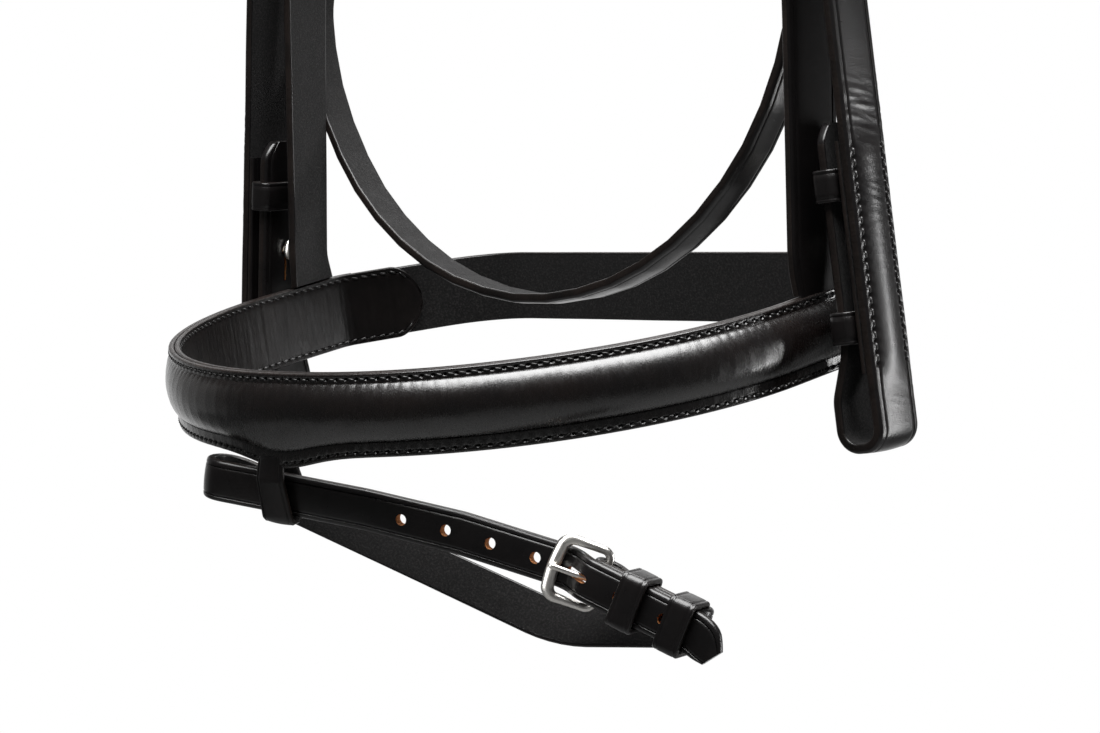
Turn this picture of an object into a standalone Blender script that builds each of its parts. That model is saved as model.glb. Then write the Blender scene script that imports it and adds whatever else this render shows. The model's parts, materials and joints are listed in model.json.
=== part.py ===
"""Flash noseband bridle, black leather with nickel hardware. Metres, +Z up, the horse faces -Y.

The origin is the poll seat: the middle of the underside of the noseband's head strap, where
the bridle hangs on the head. Every strap is cut flat, punched and bent along a route of
straight runs and arcs. A route follows the strap's bar side or inner face, and the leather
lies on its outer side. Left is the horse's left, the near side, at +X.
"""

import bisect
import math

import bmesh
import bpy
from mathutils import Vector

# Overall sizes
NOSEBAND_DROP = 0.420
HEAD_HALF_WIDTH = 0.1095
HEAD_BEND_HALF_WIDTH = 0.1070
CROWN_HALF_WIDTH = 0.086
CROWN_RADIUS = 0.078
NOSEBAND_SETBACK = 0.008
SIDES = {"left": 1, "right": -1}

# Leather and clearances
LEATHER = 0.0032
FLASH_LEATHER = 0.0026
KEEPER_LEATHER = 0.0016
GAP = 0.0003
KEEPER_CLEARANCE = 0.0004
ARC_STEP = math.radians(15)
ARC_SAG = 0.00025
OVERRUN = 0.004
PUNCH_SIDES = 8
PUNCH_RADIUS = 0.0019
HOLE_PITCH = 0.015

# Strap widths
CHEEK_WIDTH = 0.020
HEAD_STRAP_WIDTH = 0.020
THROAT_WIDTH = 0.014
LANE_SLIT = 0.002
CHIN_WIDTH = 0.024
FLASH_WIDTH = 0.013
BROWBAND_WIDTH = 0.019

# Buckles
BAR_RADIUS = 0.00125
FRONT_BAR_RADIUS = 0.0015
TONGUE_RADIUS = 0.0009
FRAME_SIDE_PLAY = 0.0014
FRAME_CORNER_RADIUS = 0.0026
TUBE_SIDES = 8
TONGUE_OVERHANG = 0.0014
CHAPE_TAIL = 0.034
CHAPE_LEAD = 0.0025
CHAPE_RAMP = 0.0070
CHAPE_BEND = 0.0036
SLOT_PLAY = 0.0007
SLOT_RUN_OUT = 0.0006
RAMP_START_SHARE = 0.62
RAMP_END_SHARE = 0.20
RAMP_BEND = 0.006
USED_HOLE_SHARE = 0.44
USED_HOLE_REACH_SHARE = 0.260
TIP_LENGTH = 0.007
TIP_WIDTH_SHARE = 0.55
KEEPER_WIDTH = 0.008
KEEPER_CORNER_RADIUS = 0.0009
FIXED_KEEPER_PLACE = 0.012
RUNNER_PLACE = 0.026
POINT_BEYOND_RUNNER = 0.012

# Noseband ring, seen in its own plane
RING_HALF_WIDTH = 0.1115
RING_FRONT = 0.1105
RING_SIDE_BACK = 0.032
RING_BACK = 0.077
RING_BACK_HALF_WIDTH = 0.080
RING_TILT = math.radians(11.2)
RING_CORNER_RADIUS = 0.014
RING_NEAR_ROUND = 0.1055
RING_FAR_ROUND = 0.1100
RING_SOFT_CORNER_RADIUS = 0.034
NOSEBAND_HEIGHT = 0.0255
FLANGE = 0.0042
FACE_LEATHER = 0.0018
LINING_LEATHER = 0.0016
PAD_RISE = 0.0040
PAD_SKIN = 0.0016
PAD_END_BLEND = 0.022
FACE_CUT = 0.018
STRAP_CUT = 0.060
LINING_LAP = 0.024
STRAP_TONGUE = 0.0009
STRAP_TONGUE_DEPTH = 0.0045
POCKET_PLAY = 0.0004
NOSE_END_RUN = 0.0050
PAD_HOLLOW_LEAST = 0.0003
CORE_SHARE = 0.75
PAD_HALF_SHARE = 0.45
PAD_SHOULDER_SHARE = 0.72

# Chin strap
CHIN_HEEL_FROM_CORNER = 0.022
CHIN_REACH = 0.013
CHIN_POINT_TAIL = 0.029
CHIN_CHAPE_TAIL = 0.026
CHIN_FIXED_PLACE = 0.0123
CHIN_RUNNER_PLACE = 0.0215

# Noseband head strap
HEAD_STRAP_Y_AT_NOSEBAND = 0.0123
HEAD_STRAP_Y_AT_BEND = 0.0087
HEAD_BEND_RADIUS = 0.300
HEAD_POINT_TAIL = 0.042
HEAD_BUCKLE_REACH = 0.016

# Headpiece and cheekpieces
CHEEK_BOTTOM = (0.1355, 0.0160, -0.0326)
CHEEK_UPPER = (0.1218, 0.0067, 0.1030)
HEADPIECE_LAY = LEATHER + GAP
HEADPIECE_SPLIT = 0.075
HEADPIECE_LEAVE_DROP = 0.138
THROAT_LEAVE_DROP = 0.134
LANE_BEND = 0.060
BRIDGE_SINK = 0.0003
CHEEK_BUCKLE_DROP = 0.215
POINT_TAIL = CHAPE_TAIL + POINT_BEYOND_RUNNER
BELOW_CHEEK_POINT = 0.011
HEAD_BUCKLE_DROP = CHEEK_BUCKLE_DROP + POINT_TAIL + BELOW_CHEEK_POINT
HEAD_BEND_SHARE = 0.743
HEAD_BEND_HEIGHT = (NOSEBAND_DROP - HEAD_BUCKLE_DROP) * HEAD_BEND_SHARE
CHEEK_BUCKLE_REACH = 0.016
BIT_LOOP_RADIUS = 0.0053
BIT_LOOP_CORNER = 0.0043
BILLET_STAND = 0.0055
BILLET_FLARE_HEIGHT = 0.016
BILLET_STRAIGHT_HEIGHT = 0.030
BILLET_LENGTH = 0.100
BILLET_BEND = 0.018
BACKING_LEATHER = 0.0018
BACKING_START = 0.024
BACKING_END = 0.094
STUD_HEIGHT = 0.062
STUD_SLIT = 0.011
STUD_NECK_RADIUS = 0.0013
STUD_FLANGE_RADIUS = 0.0040
STUD_FLANGE = 0.0010
STUD_HEAD = (0.0019, 0.0036, 0.0017)
STUD_HOLE_RADIUS = 0.0022
LOWER_KEEPER_HEIGHT = 0.038
UPPER_KEEPER_HEIGHT = 0.081
BILLET_KEEPER_WIDTH = 0.010

# Throatlash
THROAT_RADIUS = 0.1088
THROAT_SHIFT = -0.0115
THROAT_BOTTOM = 0.0131
THROAT_Y = 0.0245
THROAT_Y_SLOPE = -0.035
THROAT_BACK_Y = 0.030
THROAT_TOP_X = 0.1045
THROAT_KNEE = {"left": (0.1000, 0.124), "right": (0.1060, 0.165)}
THROAT_ARC = {"left": math.radians(78), "right": math.radians(86)}
THROAT_ARC_STEPS = 22
THROAT_BUCKLE_DROP = 0.215
THROAT_APPROACH = 0.010
THROAT_BUCKLE_REACH = 0.013
THROAT_BEND = 0.120

# Browband
BROWBAND_DROP = 0.118
BROWBAND_REACH = 0.110
BROWBAND_BEND = 0.066
BROWBAND_LEATHER = 0.0028
BROW_LOOP_LAP = 0.018
BROW_LOOP_BEND = 0.0022
BROW_LAP_BEND = 0.0050
BROW_PLAY = 0.0008

# Flash strap
FLASH_SHIFT = 0.0072
FLASH_TURN = math.radians(16)
FLASH_SLOPE = math.radians(22.5)
FLASH_LOOP_SLOPE = math.radians(7.5)
FLASH_FIRST_RUN = 0.028
FLASH_FIRST_DROP = 0.0042
FLASH_SECOND_RUN = 0.060
FLASH_SECOND_DROP = 0.0104
FLASH_DROP = 0.0126
FLASH_LEFT = 0.0282
FLASH_LEFT_LEAN = math.radians(16)
FLASH_BUCKLE_RUN = 0.1038
FLASH_BUCKLE_DROP = 0.0231
FLASH_REACH = 0.0125
FLASH_LEFT_RADIUS = 0.0075
FLASH_LEFT_BEND = 0.0070
FLASH_RIGHT_RADIUS = 0.0036
FLASH_RIGHT_RUN = 0.0328
FLASH_SAG = 0.0262
FLASH_SAG_TILT = math.radians(32)
FLASH_BEND = 0.045
FLASH_FIXED_PLACE = 0.0125
FLASH_RUNNER_PLACE = 0.0284
FLASH_SAG_RUN = 0.086
FLASH_BACK = 0.012
FLASH_TIP_RUN = 0.0040
FLASH_TIP_DIP = 0.0028
FLASH_TIP_LEAD = 0.0030
FLASH_KEEPER_ROOM = 0.0012
FLASH_LOOP_WIDTH = 0.0105
FLASH_LOOP_LEATHER = 0.0018
FLASH_LOOP_PLAY = 0.0010
FLASH_LOOP_BEND = 0.0028
FLASH_LOOP_TURN = 0.0015
FLASH_LOOP_RISE = 0.0008
FLASH_LOOP_EASE = 0.0012
FLASH_LOOP_DROP = 0.0014
FLASH_LOOP_SHIFT = 0.0022
FLASH_KNEE_BEND = 0.060
FLASH_APPROACH_BEND = 0.030
FLASH_APPROACH = 0.012
FLASH_TIP_BEND = 0.009


def lerp(a, b, share):
    return a + (b - a) * share


def mirrored(point, side):
    return Vector((point[0] * side, point[1], point[2]))


class Route:
    """A polyline with rounded corners, with the strap's across direction at each of its points."""

    def __init__(self, corners, radii, acrosses, arc_step=ARC_STEP):
        corners = [Vector(c) for c in corners]
        acrosses = [Vector(a).normalized() for a in acrosses]
        points, shares = [corners[0]], [0.0]
        for i in range(1, len(corners) - 1):
            before = corners[i] - corners[i - 1]
            after = corners[i + 1] - corners[i]
            turn = before.angle(after)
            radius = radii[i]
            if turn < ARC_STEP / 100 or radius == 0:
                points.append(corners[i])
                shares.append(float(i))
                continue
            reach = radius * math.tan(turn / 2)
            inward = (after.normalized() - before.normalized()).normalized()
            centre = corners[i] + inward * (radius / math.cos(turn / 2))
            start = corners[i] - before.normalized() * reach
            axis = before.cross(after).normalized()
            spoke = start - centre
            step = min(arc_step, 2 * math.acos(1 - ARC_SAG / radius))
            count = max(2, math.ceil(turn / step))
            for k in range(count + 1):
                angle = turn * k / count
                turned = spoke * math.cos(angle) + axis.cross(spoke) * math.sin(angle)
                points.append(centre + turned)
                ends = (i - reach / before.length, i + reach / after.length)
                shares.append(lerp(ends[0], ends[1], k / count))
        points.append(corners[-1])
        shares.append(float(len(corners) - 1))
        self.points, kept = [points[0]], [shares[0]]
        for point, share in zip(points[1:], shares[1:]):
            if (point - self.points[-1]).length > GAP:
                self.points.append(point)
                kept.append(share)
        self.distance = [0.0]
        for a, b in zip(self.points, self.points[1:]):
            self.distance.append(self.distance[-1] + (b - a).length)
        self.length = self.distance[-1]
        self.across, self.normal = [], []
        for i, point in enumerate(self.points):
            ahead = self.points[min(i + 1, len(self.points) - 1)] - point
            behind = point - self.points[max(i - 1, 0)]
            tangent = (ahead.normalized() + behind.normalized()).normalized()
            j = min(int(kept[i]), len(acrosses) - 2)
            wanted = acrosses[j].lerp(acrosses[j + 1], kept[i] - j)
            normal = wanted.cross(tangent).normalized()
            self.across.append(tangent.cross(normal))
            self.normal.append(normal)

    def place(self, along, across, out):
        """World point for a point of the flat strap: distance along, across and out of it."""
        i = bisect.bisect_right(self.distance, along) - 1
        i = max(0, min(i, len(self.points) - 2))
        span = self.distance[i + 1] - self.distance[i]
        share = (along - self.distance[i]) / span
        point = self.points[i].lerp(self.points[i + 1], share)
        across_way = self.across[i].lerp(self.across[i + 1], share)
        out_way = self.normal[i].lerp(self.normal[i + 1], share)
        return point + across_way * across + out_way * out

    def nearest(self, point):
        """Distance along the route to its point nearest to the given one."""
        best = None
        for i, (a, b) in enumerate(zip(self.points, self.points[1:])):
            run = b - a
            share = max(0.0, min(1.0, (point - a).dot(run) / run.length_squared))
            away = (point - (a + run * share)).length
            if best is None or away < best[0]:
                best = (away, self.distance[i] + run.length * share)
        return best[1]

    def cuts(self, start, end, most):
        """Distances of the cross-cuts between start and end, no further apart than most."""
        inside = [d for d in self.distance if start + GAP < d < end - GAP]
        ends = [start] + inside + [end]
        found = [start]
        for a, b in zip(ends, ends[1:]):
            count = max(1, math.ceil((b - a) / most))
            found += [lerp(a, b, (k + 1) / count) for k in range(count)]
        return found


class Zone:
    """The straight stretch around a buckle: u runs towards the point that comes in, n out, w across."""

    def __init__(self, origin, toward, out):
        self.origin = Vector(origin)
        self.u = Vector(toward).normalized()
        out = Vector(out)
        self.n = (out - self.u * out.dot(self.u)).normalized()
        self.w = self.n.cross(self.u)

    def place(self, u, n, w=0.0):
        return self.origin + self.u * u + self.n * n + self.w * w


def leather(name, colour, roughness):
    return finish(name, colour, roughness, 0.0)


def finish(name, colour, roughness, metallic):
    material = bpy.data.materials.new(name + "_finish")
    material.use_nodes = True
    shader = material.node_tree.nodes["Principled BSDF"]
    shader.inputs["Base Color"].default_value = (*colour, 1)
    shader.inputs["Roughness"].default_value = roughness
    shader.inputs["Metallic"].default_value = metallic
    material.diffuse_color = (*colour, 1)
    return material


BLACK = (0.012, 0.011, 0.011)
FLESH = (0.020, 0.016, 0.015)
NICKEL = (0.78, 0.76, 0.72)
PADDING = (0.30, 0.28, 0.25)


def add_piece(name, points, faces, material, origin=(0, 0, 0), smooth=False):
    """An object from world points, with its own origin."""
    origin = Vector(origin)
    mesh = bpy.data.meshes.new(name)
    mesh.from_pydata([Vector(p) - origin for p in points], [], faces)
    shell = bmesh.new()
    shell.from_mesh(mesh)
    bmesh.ops.recalc_face_normals(shell, faces=shell.faces)
    shell.to_mesh(mesh)
    shell.free()
    if smooth:
        mesh.shade_smooth()
        mesh.set_sharp_from_angle(angle=ARC_STEP * 3)
    mesh.materials.append(material)
    piece = bpy.data.objects.new(name, mesh)
    piece.location = origin
    bpy.context.collection.objects.link(piece)
    return piece


def prism(outline, low, high):
    """Points and faces of an upright prism over an outline of (x, y) points."""
    count = len(outline)
    points = [(x, y, low) for x, y in outline] + [(x, y, high) for x, y in outline]
    faces = [tuple(range(count))[::-1], tuple(range(count, 2 * count))]
    for i in range(count):
        j = (i + 1) % count
        faces.append((i, j, j + count, i + count))
    return points, faces


def oval(centre, across, radius, reach):
    """Outline of a punched hole: a circle drawn out along the strap by reach on each side."""
    outline = []
    for k in range(PUNCH_SIDES):
        angle = 2 * math.pi * (k + 0.5) / PUNCH_SIDES
        pull = math.copysign(reach, math.cos(angle))
        outline.append((centre + radius * math.cos(angle) + pull, across + radius * math.sin(angle)))
    return outline


def box_outline(start, end, low, high):
    return [(start, low), (end, low), (end, high), (start, high)]


def cut_flat(points, faces, cutters):
    """The flat piece with its holes, as points and triangles."""
    mesh = bpy.data.meshes.new("flat")
    mesh.from_pydata(points, [], faces)
    flat = bpy.data.objects.new("flat", mesh)
    bpy.context.collection.objects.link(flat)
    shell = bmesh.new()
    shell.from_mesh(mesh)
    bmesh.ops.recalc_face_normals(shell, faces=shell.faces)
    shell.to_mesh(mesh)
    shell.free()
    made = [flat]
    for outline, low, high in cutters:
        cut_points, cut_faces = prism(outline, low, high)
        cut_mesh = bpy.data.meshes.new("punch")
        cut_mesh.from_pydata(cut_points, [], cut_faces)
        shell = bmesh.new()
        shell.from_mesh(cut_mesh)
        bmesh.ops.recalc_face_normals(shell, faces=shell.faces)
        shell.to_mesh(cut_mesh)
        shell.free()
        punch = bpy.data.objects.new("punch", cut_mesh)
        punch.hide_render = True
        punch.display_type = "WIRE"
        bpy.context.collection.objects.link(punch)
        made.append(punch)
        cut = flat.modifiers.new("punch", "BOOLEAN")
        cut.operation = "DIFFERENCE"
        cut.solver = "EXACT"
        cut.object = punch
    bpy.context.view_layer.update()
    evaluated = flat.evaluated_get(bpy.context.evaluated_depsgraph_get())
    shell = bmesh.new()
    shell.from_mesh(evaluated.to_mesh())
    bmesh.ops.triangulate(shell, faces=shell.faces)
    shell.verts.index_update()
    cut_points = [v.co.copy() for v in shell.verts]
    cut_faces = [tuple(v.index for v in f.verts) for f in shell.faces]
    shell.free()
    evaluated.to_mesh_clear()
    for obj in made:
        data = obj.data
        bpy.data.objects.remove(obj)
        bpy.data.meshes.remove(data)
    return cut_points, cut_faces


def flat_loft(cuts, section):
    """Flat solid through the section's (across, out) points at each cut along it."""
    rings = [[(along, a, o) for a, o in section(along)] for along in cuts]
    count = len(rings[0])
    points = [p for ring in rings for p in ring]
    faces = [tuple(range(count)), tuple(range(len(points) - count, len(points)))[::-1]]
    for i in range(len(rings) - 1):
        for j in range(count):
            k = (j + 1) % count
            a, b = i * count, (i + 1) * count
            faces.append((a + j, a + k, b + k, b + j))
    return points, faces


def bend(name, flat, route, cutters, material, origin=(0, 0, 0)):
    points, faces = flat
    if cutters:
        points, faces = cut_flat(points, faces, cutters)
    return add_piece(name, [route.place(*p) for p in points], faces, material, origin)


def strap(name, route, width, thickness, start=0.0, end=None, lift=0.0, tip_at_end=False,
          tip_at_start=False, cutters=(), most=STRAP_CUT, material=None, origin=(0, 0, 0), thin=None):
    """A plain strap of one width along a route. thin gives the thickness and lift at a distance."""
    end = route.length if end is None else end
    cuts = route.cuts(start, end, most)
    tips = []
    if tip_at_end:
        tips += [end - TIP_LENGTH, end - TIP_LENGTH / 3]
    if tip_at_start:
        tips += [start + TIP_LENGTH, start + TIP_LENGTH / 3]
    if thin:
        tips += thin[0]
    cuts = sorted(set(cuts) | set(t for t in tips if start < t < end))
    cuts = [c for i, c in enumerate(cuts) if i == 0 or c - cuts[i - 1] > GAP / 3]

    def half(along):
        from_tip = TIP_LENGTH
        if tip_at_end:
            from_tip = min(from_tip, end - along)
        if tip_at_start:
            from_tip = min(from_tip, along - start)
        share = min(1.0, from_tip / TIP_LENGTH)
        return width / 2 * lerp(TIP_WIDTH_SHARE, 1.0, math.sin(share * math.pi / 2))

    def section(along):
        h = half(along)
        low, high = (lift, lift + thickness) if not thin else thin[1](along)
        return [(-h, low), (h, low), (h, high), (-h, high)]

    material = material or leather(name, BLACK, 0.4)
    return bend(name, flat_loft(cuts, section), route, list(cutters), material, origin)


def chape_corners(zone, tail):
    """Corners and bend radii of a strap end turned back round its buckle's bar."""
    turn = BAR_RADIUS + GAP
    corners = [
        zone.place(-tail, -GAP),
        zone.place(-CHAPE_RAMP, -GAP),
        zone.place(-CHAPE_LEAD, -2 * turn),
        zone.place(turn, -2 * turn),
        zone.place(turn, 0.0),
    ]
    return corners, [0, CHAPE_BEND, CHAPE_BEND, turn, turn], [zone.w] * 5


def chape_slot(route, zone, thickness):
    """The slot that a tongue comes through, across the turn of the strap round the bar."""
    turn = BAR_RADIUS + GAP
    middle = route.nearest(zone.place(turn, -turn))
    reach = math.pi * turn / 2 + turn + thickness / 2 + 2 * TONGUE_RADIUS + SLOT_RUN_OUT
    half = TONGUE_RADIUS + SLOT_PLAY
    return box_outline(middle - reach, middle + reach, -half, half), -OVERRUN, thickness + OVERRUN


def point_corners(zone, reach, thickness, tail):
    """Corners and bend radii of a point that comes in, passes the bar and lies on the chape."""
    top = thickness + GAP
    corners = [
        zone.place(reach * RAMP_START_SHARE, 0.0),
        zone.place(reach * RAMP_END_SHARE, top),
        zone.place(-tail, top),
    ]
    return corners, [RAMP_BEND, RAMP_BEND, 0], [zone.w] * 3


def used_hole(route, zone, reach, thickness):
    """The hole that the tongue is in, drawn oval by the pull on it."""
    at = route.nearest(zone.place(reach * USED_HOLE_SHARE, thickness * USED_HOLE_SHARE))
    outline = oval(at, 0.0, TONGUE_RADIUS + SLOT_PLAY, reach * USED_HOLE_REACH_SHARE)
    return outline, -OVERRUN, thickness + OVERRUN


def spare_holes(route, zone, reach, thickness, steps):
    """Round holes at whole pitches from the used one."""
    at = route.nearest(zone.place(reach * USED_HOLE_SHARE, thickness * USED_HOLE_SHARE))
    return [
        (oval(at + step * HOLE_PITCH, 0.0, PUNCH_RADIUS, 0.0), -OVERRUN, thickness + OVERRUN)
        for step in steps
    ]


def tube(points, radii, sides, closed, flat_way=None):
    """Points and faces of a round bar along a path."""
    count = len(points)
    rings = []
    reference = flat_way
    for i, point in enumerate(points):
        ahead = points[(i + 1) % count] if closed or i + 1 < count else point
        behind = points[i - 1] if closed or i else point
        tangent = (ahead - behind).normalized()
        side = tangent.cross(reference).normalized()
        up = side.cross(tangent)
        rings.append([
            point + (side * math.cos(a) + up * math.sin(a)) * radii[i]
            for a in (2 * math.pi * (k + 0.5) / sides for k in range(sides))
        ])
    flat = [p for ring in rings for p in ring]
    faces = []
    for i in range(count if closed else count - 1):
        a, b = i * sides, (i + 1) % count * sides
        for j in range(sides):
            k = (j + 1) % sides
            faces.append((a + j, a + k, b + k, b + j))
    if not closed:
        faces.append(tuple(range(sides))[::-1])
        faces.append(tuple(range((count - 1) * sides, count * sides)))
    return flat, faces


def add_buckle(prefix, zone, width, thickness, reach):
    """A frame that turns on its heel bar inside the chape, and the tongue on the same bar."""
    turn = BAR_RADIUS + GAP
    heel = (0.0, -turn)
    front = (reach, thickness + GAP + FRONT_BAR_RADIUS)
    half = width / 2 + FRAME_SIDE_PLAY + BAR_RADIUS
    corners = [
        zone.place(*heel, 0.0),
        zone.place(*heel, half),
        zone.place(*front, half),
        zone.place(*front, -half),
        zone.place(*heel, -half),
        zone.place(*heel, 0.0),
    ]
    bend_radius = FRAME_CORNER_RADIUS
    rounded = [0] + [bend_radius] * 4 + [0]
    path = Route(corners, rounded, [zone.n] * 6, 2 * ARC_STEP).points[:-1]
    way = (zone.place(*front) - zone.place(*heel)).normalized()
    length = (zone.place(*front) - zone.place(*heel)).length
    radii = []
    for point in path:
        share = (point - zone.place(*heel)).dot(way) / length
        radii.append(lerp(BAR_RADIUS, FRONT_BAR_RADIUS, max(0.0, share) ** 2))
    flat, faces = tube(path, radii, TUBE_SIDES, True, zone.w.cross(way))
    pivot = zone.place(*heel)
    add_piece(prefix + "_frame", flat, faces, finish(prefix + "_frame", NICKEL, 0.2, 1.0), pivot, True)

    ring = BAR_RADIUS + GAP + TONGUE_RADIUS
    rest = (reach, front[1] + FRONT_BAR_RADIUS + GAP + TONGUE_RADIUS)
    away = math.hypot(rest[0] - heel[0], rest[1] - heel[1])
    run = math.sqrt(away ** 2 - ring ** 2)
    leave = math.atan2(rest[1] - heel[1], rest[0] - heel[0]) + math.atan2(run, ring)
    first = -math.pi / 4
    count = math.ceil((2 * math.pi + first - leave) / (2 * ARC_STEP))
    path = []
    for k in range(count + 1):
        angle = lerp(first, leave - 2 * math.pi, k / count)
        path.append(zone.place(heel[0] + ring * math.cos(angle), heel[1] + ring * math.sin(angle)))
    way = (zone.place(*rest) - path[-1]).normalized()
    path.append(path[-1].lerp(zone.place(*rest), 0.5))
    path.append(zone.place(*rest))
    path.append(zone.place(*rest) + way * TONGUE_OVERHANG)
    radii = [TONGUE_RADIUS] * len(path)
    flat, faces = tube(path, radii, TUBE_SIDES - 2, False, zone.w)
    add_piece(prefix + "_tongue", flat, faces, finish(prefix + "_tongue", NICKEL, 0.25, 1.0), pivot, True)


def add_keeper(name, zone, place, width, low, high, keeper_width=KEEPER_WIDTH, play=KEEPER_CLEARANCE):
    """A loop of leather round the plies between heights low and high, at u = place."""
    half = width / 2 + play
    bottom, top = low - play, high + play
    outline = []
    for corner, (w, n) in enumerate([(half, top), (-half, top), (-half, bottom), (half, bottom)]):
        for k in range(3):
            angle = math.pi / 2 * (corner + k / 2)
            outline.append((w, n, math.cos(angle), math.sin(angle)))
    points = []
    for u in (place - keeper_width / 2, place + keeper_width / 2):
        for radius in (0.0, KEEPER_LEATHER):
            for w, n, out_w, out_n in outline:
                w_corner = w - math.copysign(KEEPER_CORNER_RADIUS, w)
                n_corner = n - (KEEPER_CORNER_RADIUS if n == top else -KEEPER_CORNER_RADIUS)
                reach = KEEPER_CORNER_RADIUS + radius
                points.append(zone.place(u, n_corner + out_n * reach, w_corner + out_w * reach))
    count = len(outline)
    faces = []
    for i in range(count):
        j = (i + 1) % count
        faces.append((i, j, j + count, i + count))
        faces.append((i + 2 * count, i + 3 * count, j + 3 * count, j + 2 * count))
        faces.append((i, i + 2 * count, j + 2 * count, j))
        faces.append((i + count, j + count, j + 3 * count, i + 3 * count))
    middle = zone.place(place, (low + high) / 2)
    return add_piece(name, points, faces, leather(name, BLACK, 0.45), middle)


def add_keepers(prefix, zone, width, thickness, fixed_place=FIXED_KEEPER_PLACE,
                runner_place=RUNNER_PLACE, room=0.0):
    """The fixed keeper and the runner of a buckle, with some room over the point."""
    low, high = -GAP - thickness, 2 * thickness + GAP + room
    add_keeper(prefix + "_fixed_keeper", zone, -fixed_place, width, low, high)
    add_keeper(prefix + "_runner", zone, -runner_place, width, low, high)


def clear_scene():
    for obj in list(bpy.data.objects):
        bpy.data.objects.remove(obj)


clear_scene()

# Places that several pieces share


def nose(x, y, z):
    """World point from the noseband's centre."""
    return Vector((x, y + NOSEBAND_SETBACK, z - NOSEBAND_DROP))


RING_BACKWARD = Vector((0, math.cos(RING_TILT), math.sin(RING_TILT)))
RING_UP = Vector((0, -math.sin(RING_TILT), math.cos(RING_TILT)))


def ring(x, y, up=0.0):
    """World point in the noseband's plane, and up from it."""
    return nose(x, 0, 0) + RING_BACKWARD * y + RING_UP * up


def along_line(a, b, z):
    """The point at height z on the line from a to b."""
    return a.lerp(b, (z - a.z) / (b.z - a.z))


HALF_NOSEBAND = NOSEBAND_HEIGHT / 2
RING_SIDE_CORNER = ring(RING_HALF_WIDTH, RING_SIDE_BACK)
RING_REAR_CORNER = ring(RING_BACK_HALF_WIDTH, RING_BACK)
RING_CHORD = RING_REAR_CORNER - RING_SIDE_CORNER


def ring_chord(run, side):
    """A point on the slanting stretch behind the cheek, from its front corner back."""
    return mirrored(RING_SIDE_CORNER + RING_CHORD.normalized() * run, side)


# Noseband: padded face, core and lining

NOSE_ROUTE = Route(
    [
        ring_chord(NOSE_END_RUN, 1),
        RING_SIDE_CORNER,
        ring(RING_HALF_WIDTH, -RING_FRONT),
        ring(-RING_HALF_WIDTH, -RING_FRONT),
        mirrored(RING_SIDE_CORNER, -1),
        ring_chord(NOSE_END_RUN + LINING_LAP, -1),
    ],
    [0, RING_CORNER_RADIUS, RING_NEAR_ROUND, RING_FAR_ROUND, RING_CORNER_RADIUS, 0],
    [RING_UP] * 6,
)
FACE_END = NOSE_ROUTE.length - LINING_LAP
FACE_LOW = GAP / 2
STRAP_CENTRE = HEAD_STRAP_Y_AT_NOSEBAND / math.cos(RING_TILT)
FLASH_CENTRE = NOSE_ROUTE.nearest(ring(-FLASH_SHIFT, -RING_FRONT))


def pad_share(along):
    """How full the padding is: none at the two ends of the face, all of it between."""
    share = min(1.0, min(along, FACE_END - along) / PAD_END_BLEND)
    return share * share * (3 - 2 * share)


def pad_profile(along):
    """Half widths and heights of the padding, from its foot to its crown."""
    rise = PAD_RISE * pad_share(along)
    foot = HALF_NOSEBAND - FLANGE
    flat = FACE_LOW + FACE_LEATHER
    shoulder = foot * PAD_SHOULDER_SHARE
    crown = foot * PAD_HALF_SHARE
    hollow = max(PAD_HOLLOW_LEAST, rise)
    outer = [(foot, flat), (shoulder, flat + rise * PAD_SHOULDER_SHARE), (crown, flat + rise)]
    inner = [
        (foot - PAD_SKIN, FACE_LOW),
        (shoulder - PAD_SKIN / 2, FACE_LOW + hollow * PAD_SHOULDER_SHARE),
        (crown, FACE_LOW + hollow),
    ]
    return outer, inner


def face_section(along):
    outer, inner = pad_profile(along)
    top = FACE_LOW + FACE_LEATHER
    right = [(HALF_NOSEBAND, FACE_LOW), (HALF_NOSEBAND, top)] + outer
    left = [(-a, o) for a, o in reversed(outer)] + [(-HALF_NOSEBAND, top), (-HALF_NOSEBAND, FACE_LOW)]
    below = [(-a, o) for a, o in inner] + list(reversed(inner))
    return right + left + below


def core_section(along):
    inner = pad_profile(along)[1]
    low = FACE_LOW
    right = [(inner[0][0] - GAP * 2, low), (inner[1][0] - GAP, inner[1][1] - GAP),
             (inner[2][0] - GAP, inner[2][1] - GAP)]
    return right + [(-a, o) for a, o in reversed(right)]


def pocket(along, width, top):
    """Slot behind the flange that a strap's thinned end is sewn into."""
    edge = HALF_NOSEBAND - STRAP_TONGUE_DEPTH - POCKET_PLAY
    low, high = (edge, HALF_NOSEBAND + OVERRUN) if top else (-HALF_NOSEBAND - OVERRUN, -edge)
    reach = width / 2 + POCKET_PLAY
    outline = box_outline(along - reach, along + reach, low, high)
    return outline, -OVERRUN, FACE_LOW + GAP / 2 + STRAP_TONGUE + GAP / 2


face_cuts = NOSE_ROUTE.cuts(0.0, FACE_END, FACE_CUT)
for end in (PAD_END_BLEND / 3, PAD_END_BLEND * 2 / 3, PAD_END_BLEND):
    face_cuts += [end, FACE_END - end]
face_cuts = sorted(face_cuts)
face_cuts = [c for i, c in enumerate(face_cuts) if i == 0 or c - face_cuts[i - 1] > OVERRUN / 2]
pockets = [
    pocket(NOSE_ROUTE.nearest(ring(side * RING_HALF_WIDTH, STRAP_CENTRE)), HEAD_STRAP_WIDTH, True)
    for side in SIDES.values()
]
pockets.append(pocket(FLASH_CENTRE, FLASH_LOOP_WIDTH, False))
bend("noseband_face", flat_loft(face_cuts, face_section), NOSE_ROUTE, pockets,
     leather("noseband_face", BLACK, 0.3))
core_start = PAD_END_BLEND * CORE_SHARE
core_cuts = [c for c in face_cuts if core_start < c < FACE_END - core_start]
bend("noseband_core", flat_loft(core_cuts, core_section), NOSE_ROUTE, [],
     finish("noseband_core", PADDING, 0.9, 0.0))
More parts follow.
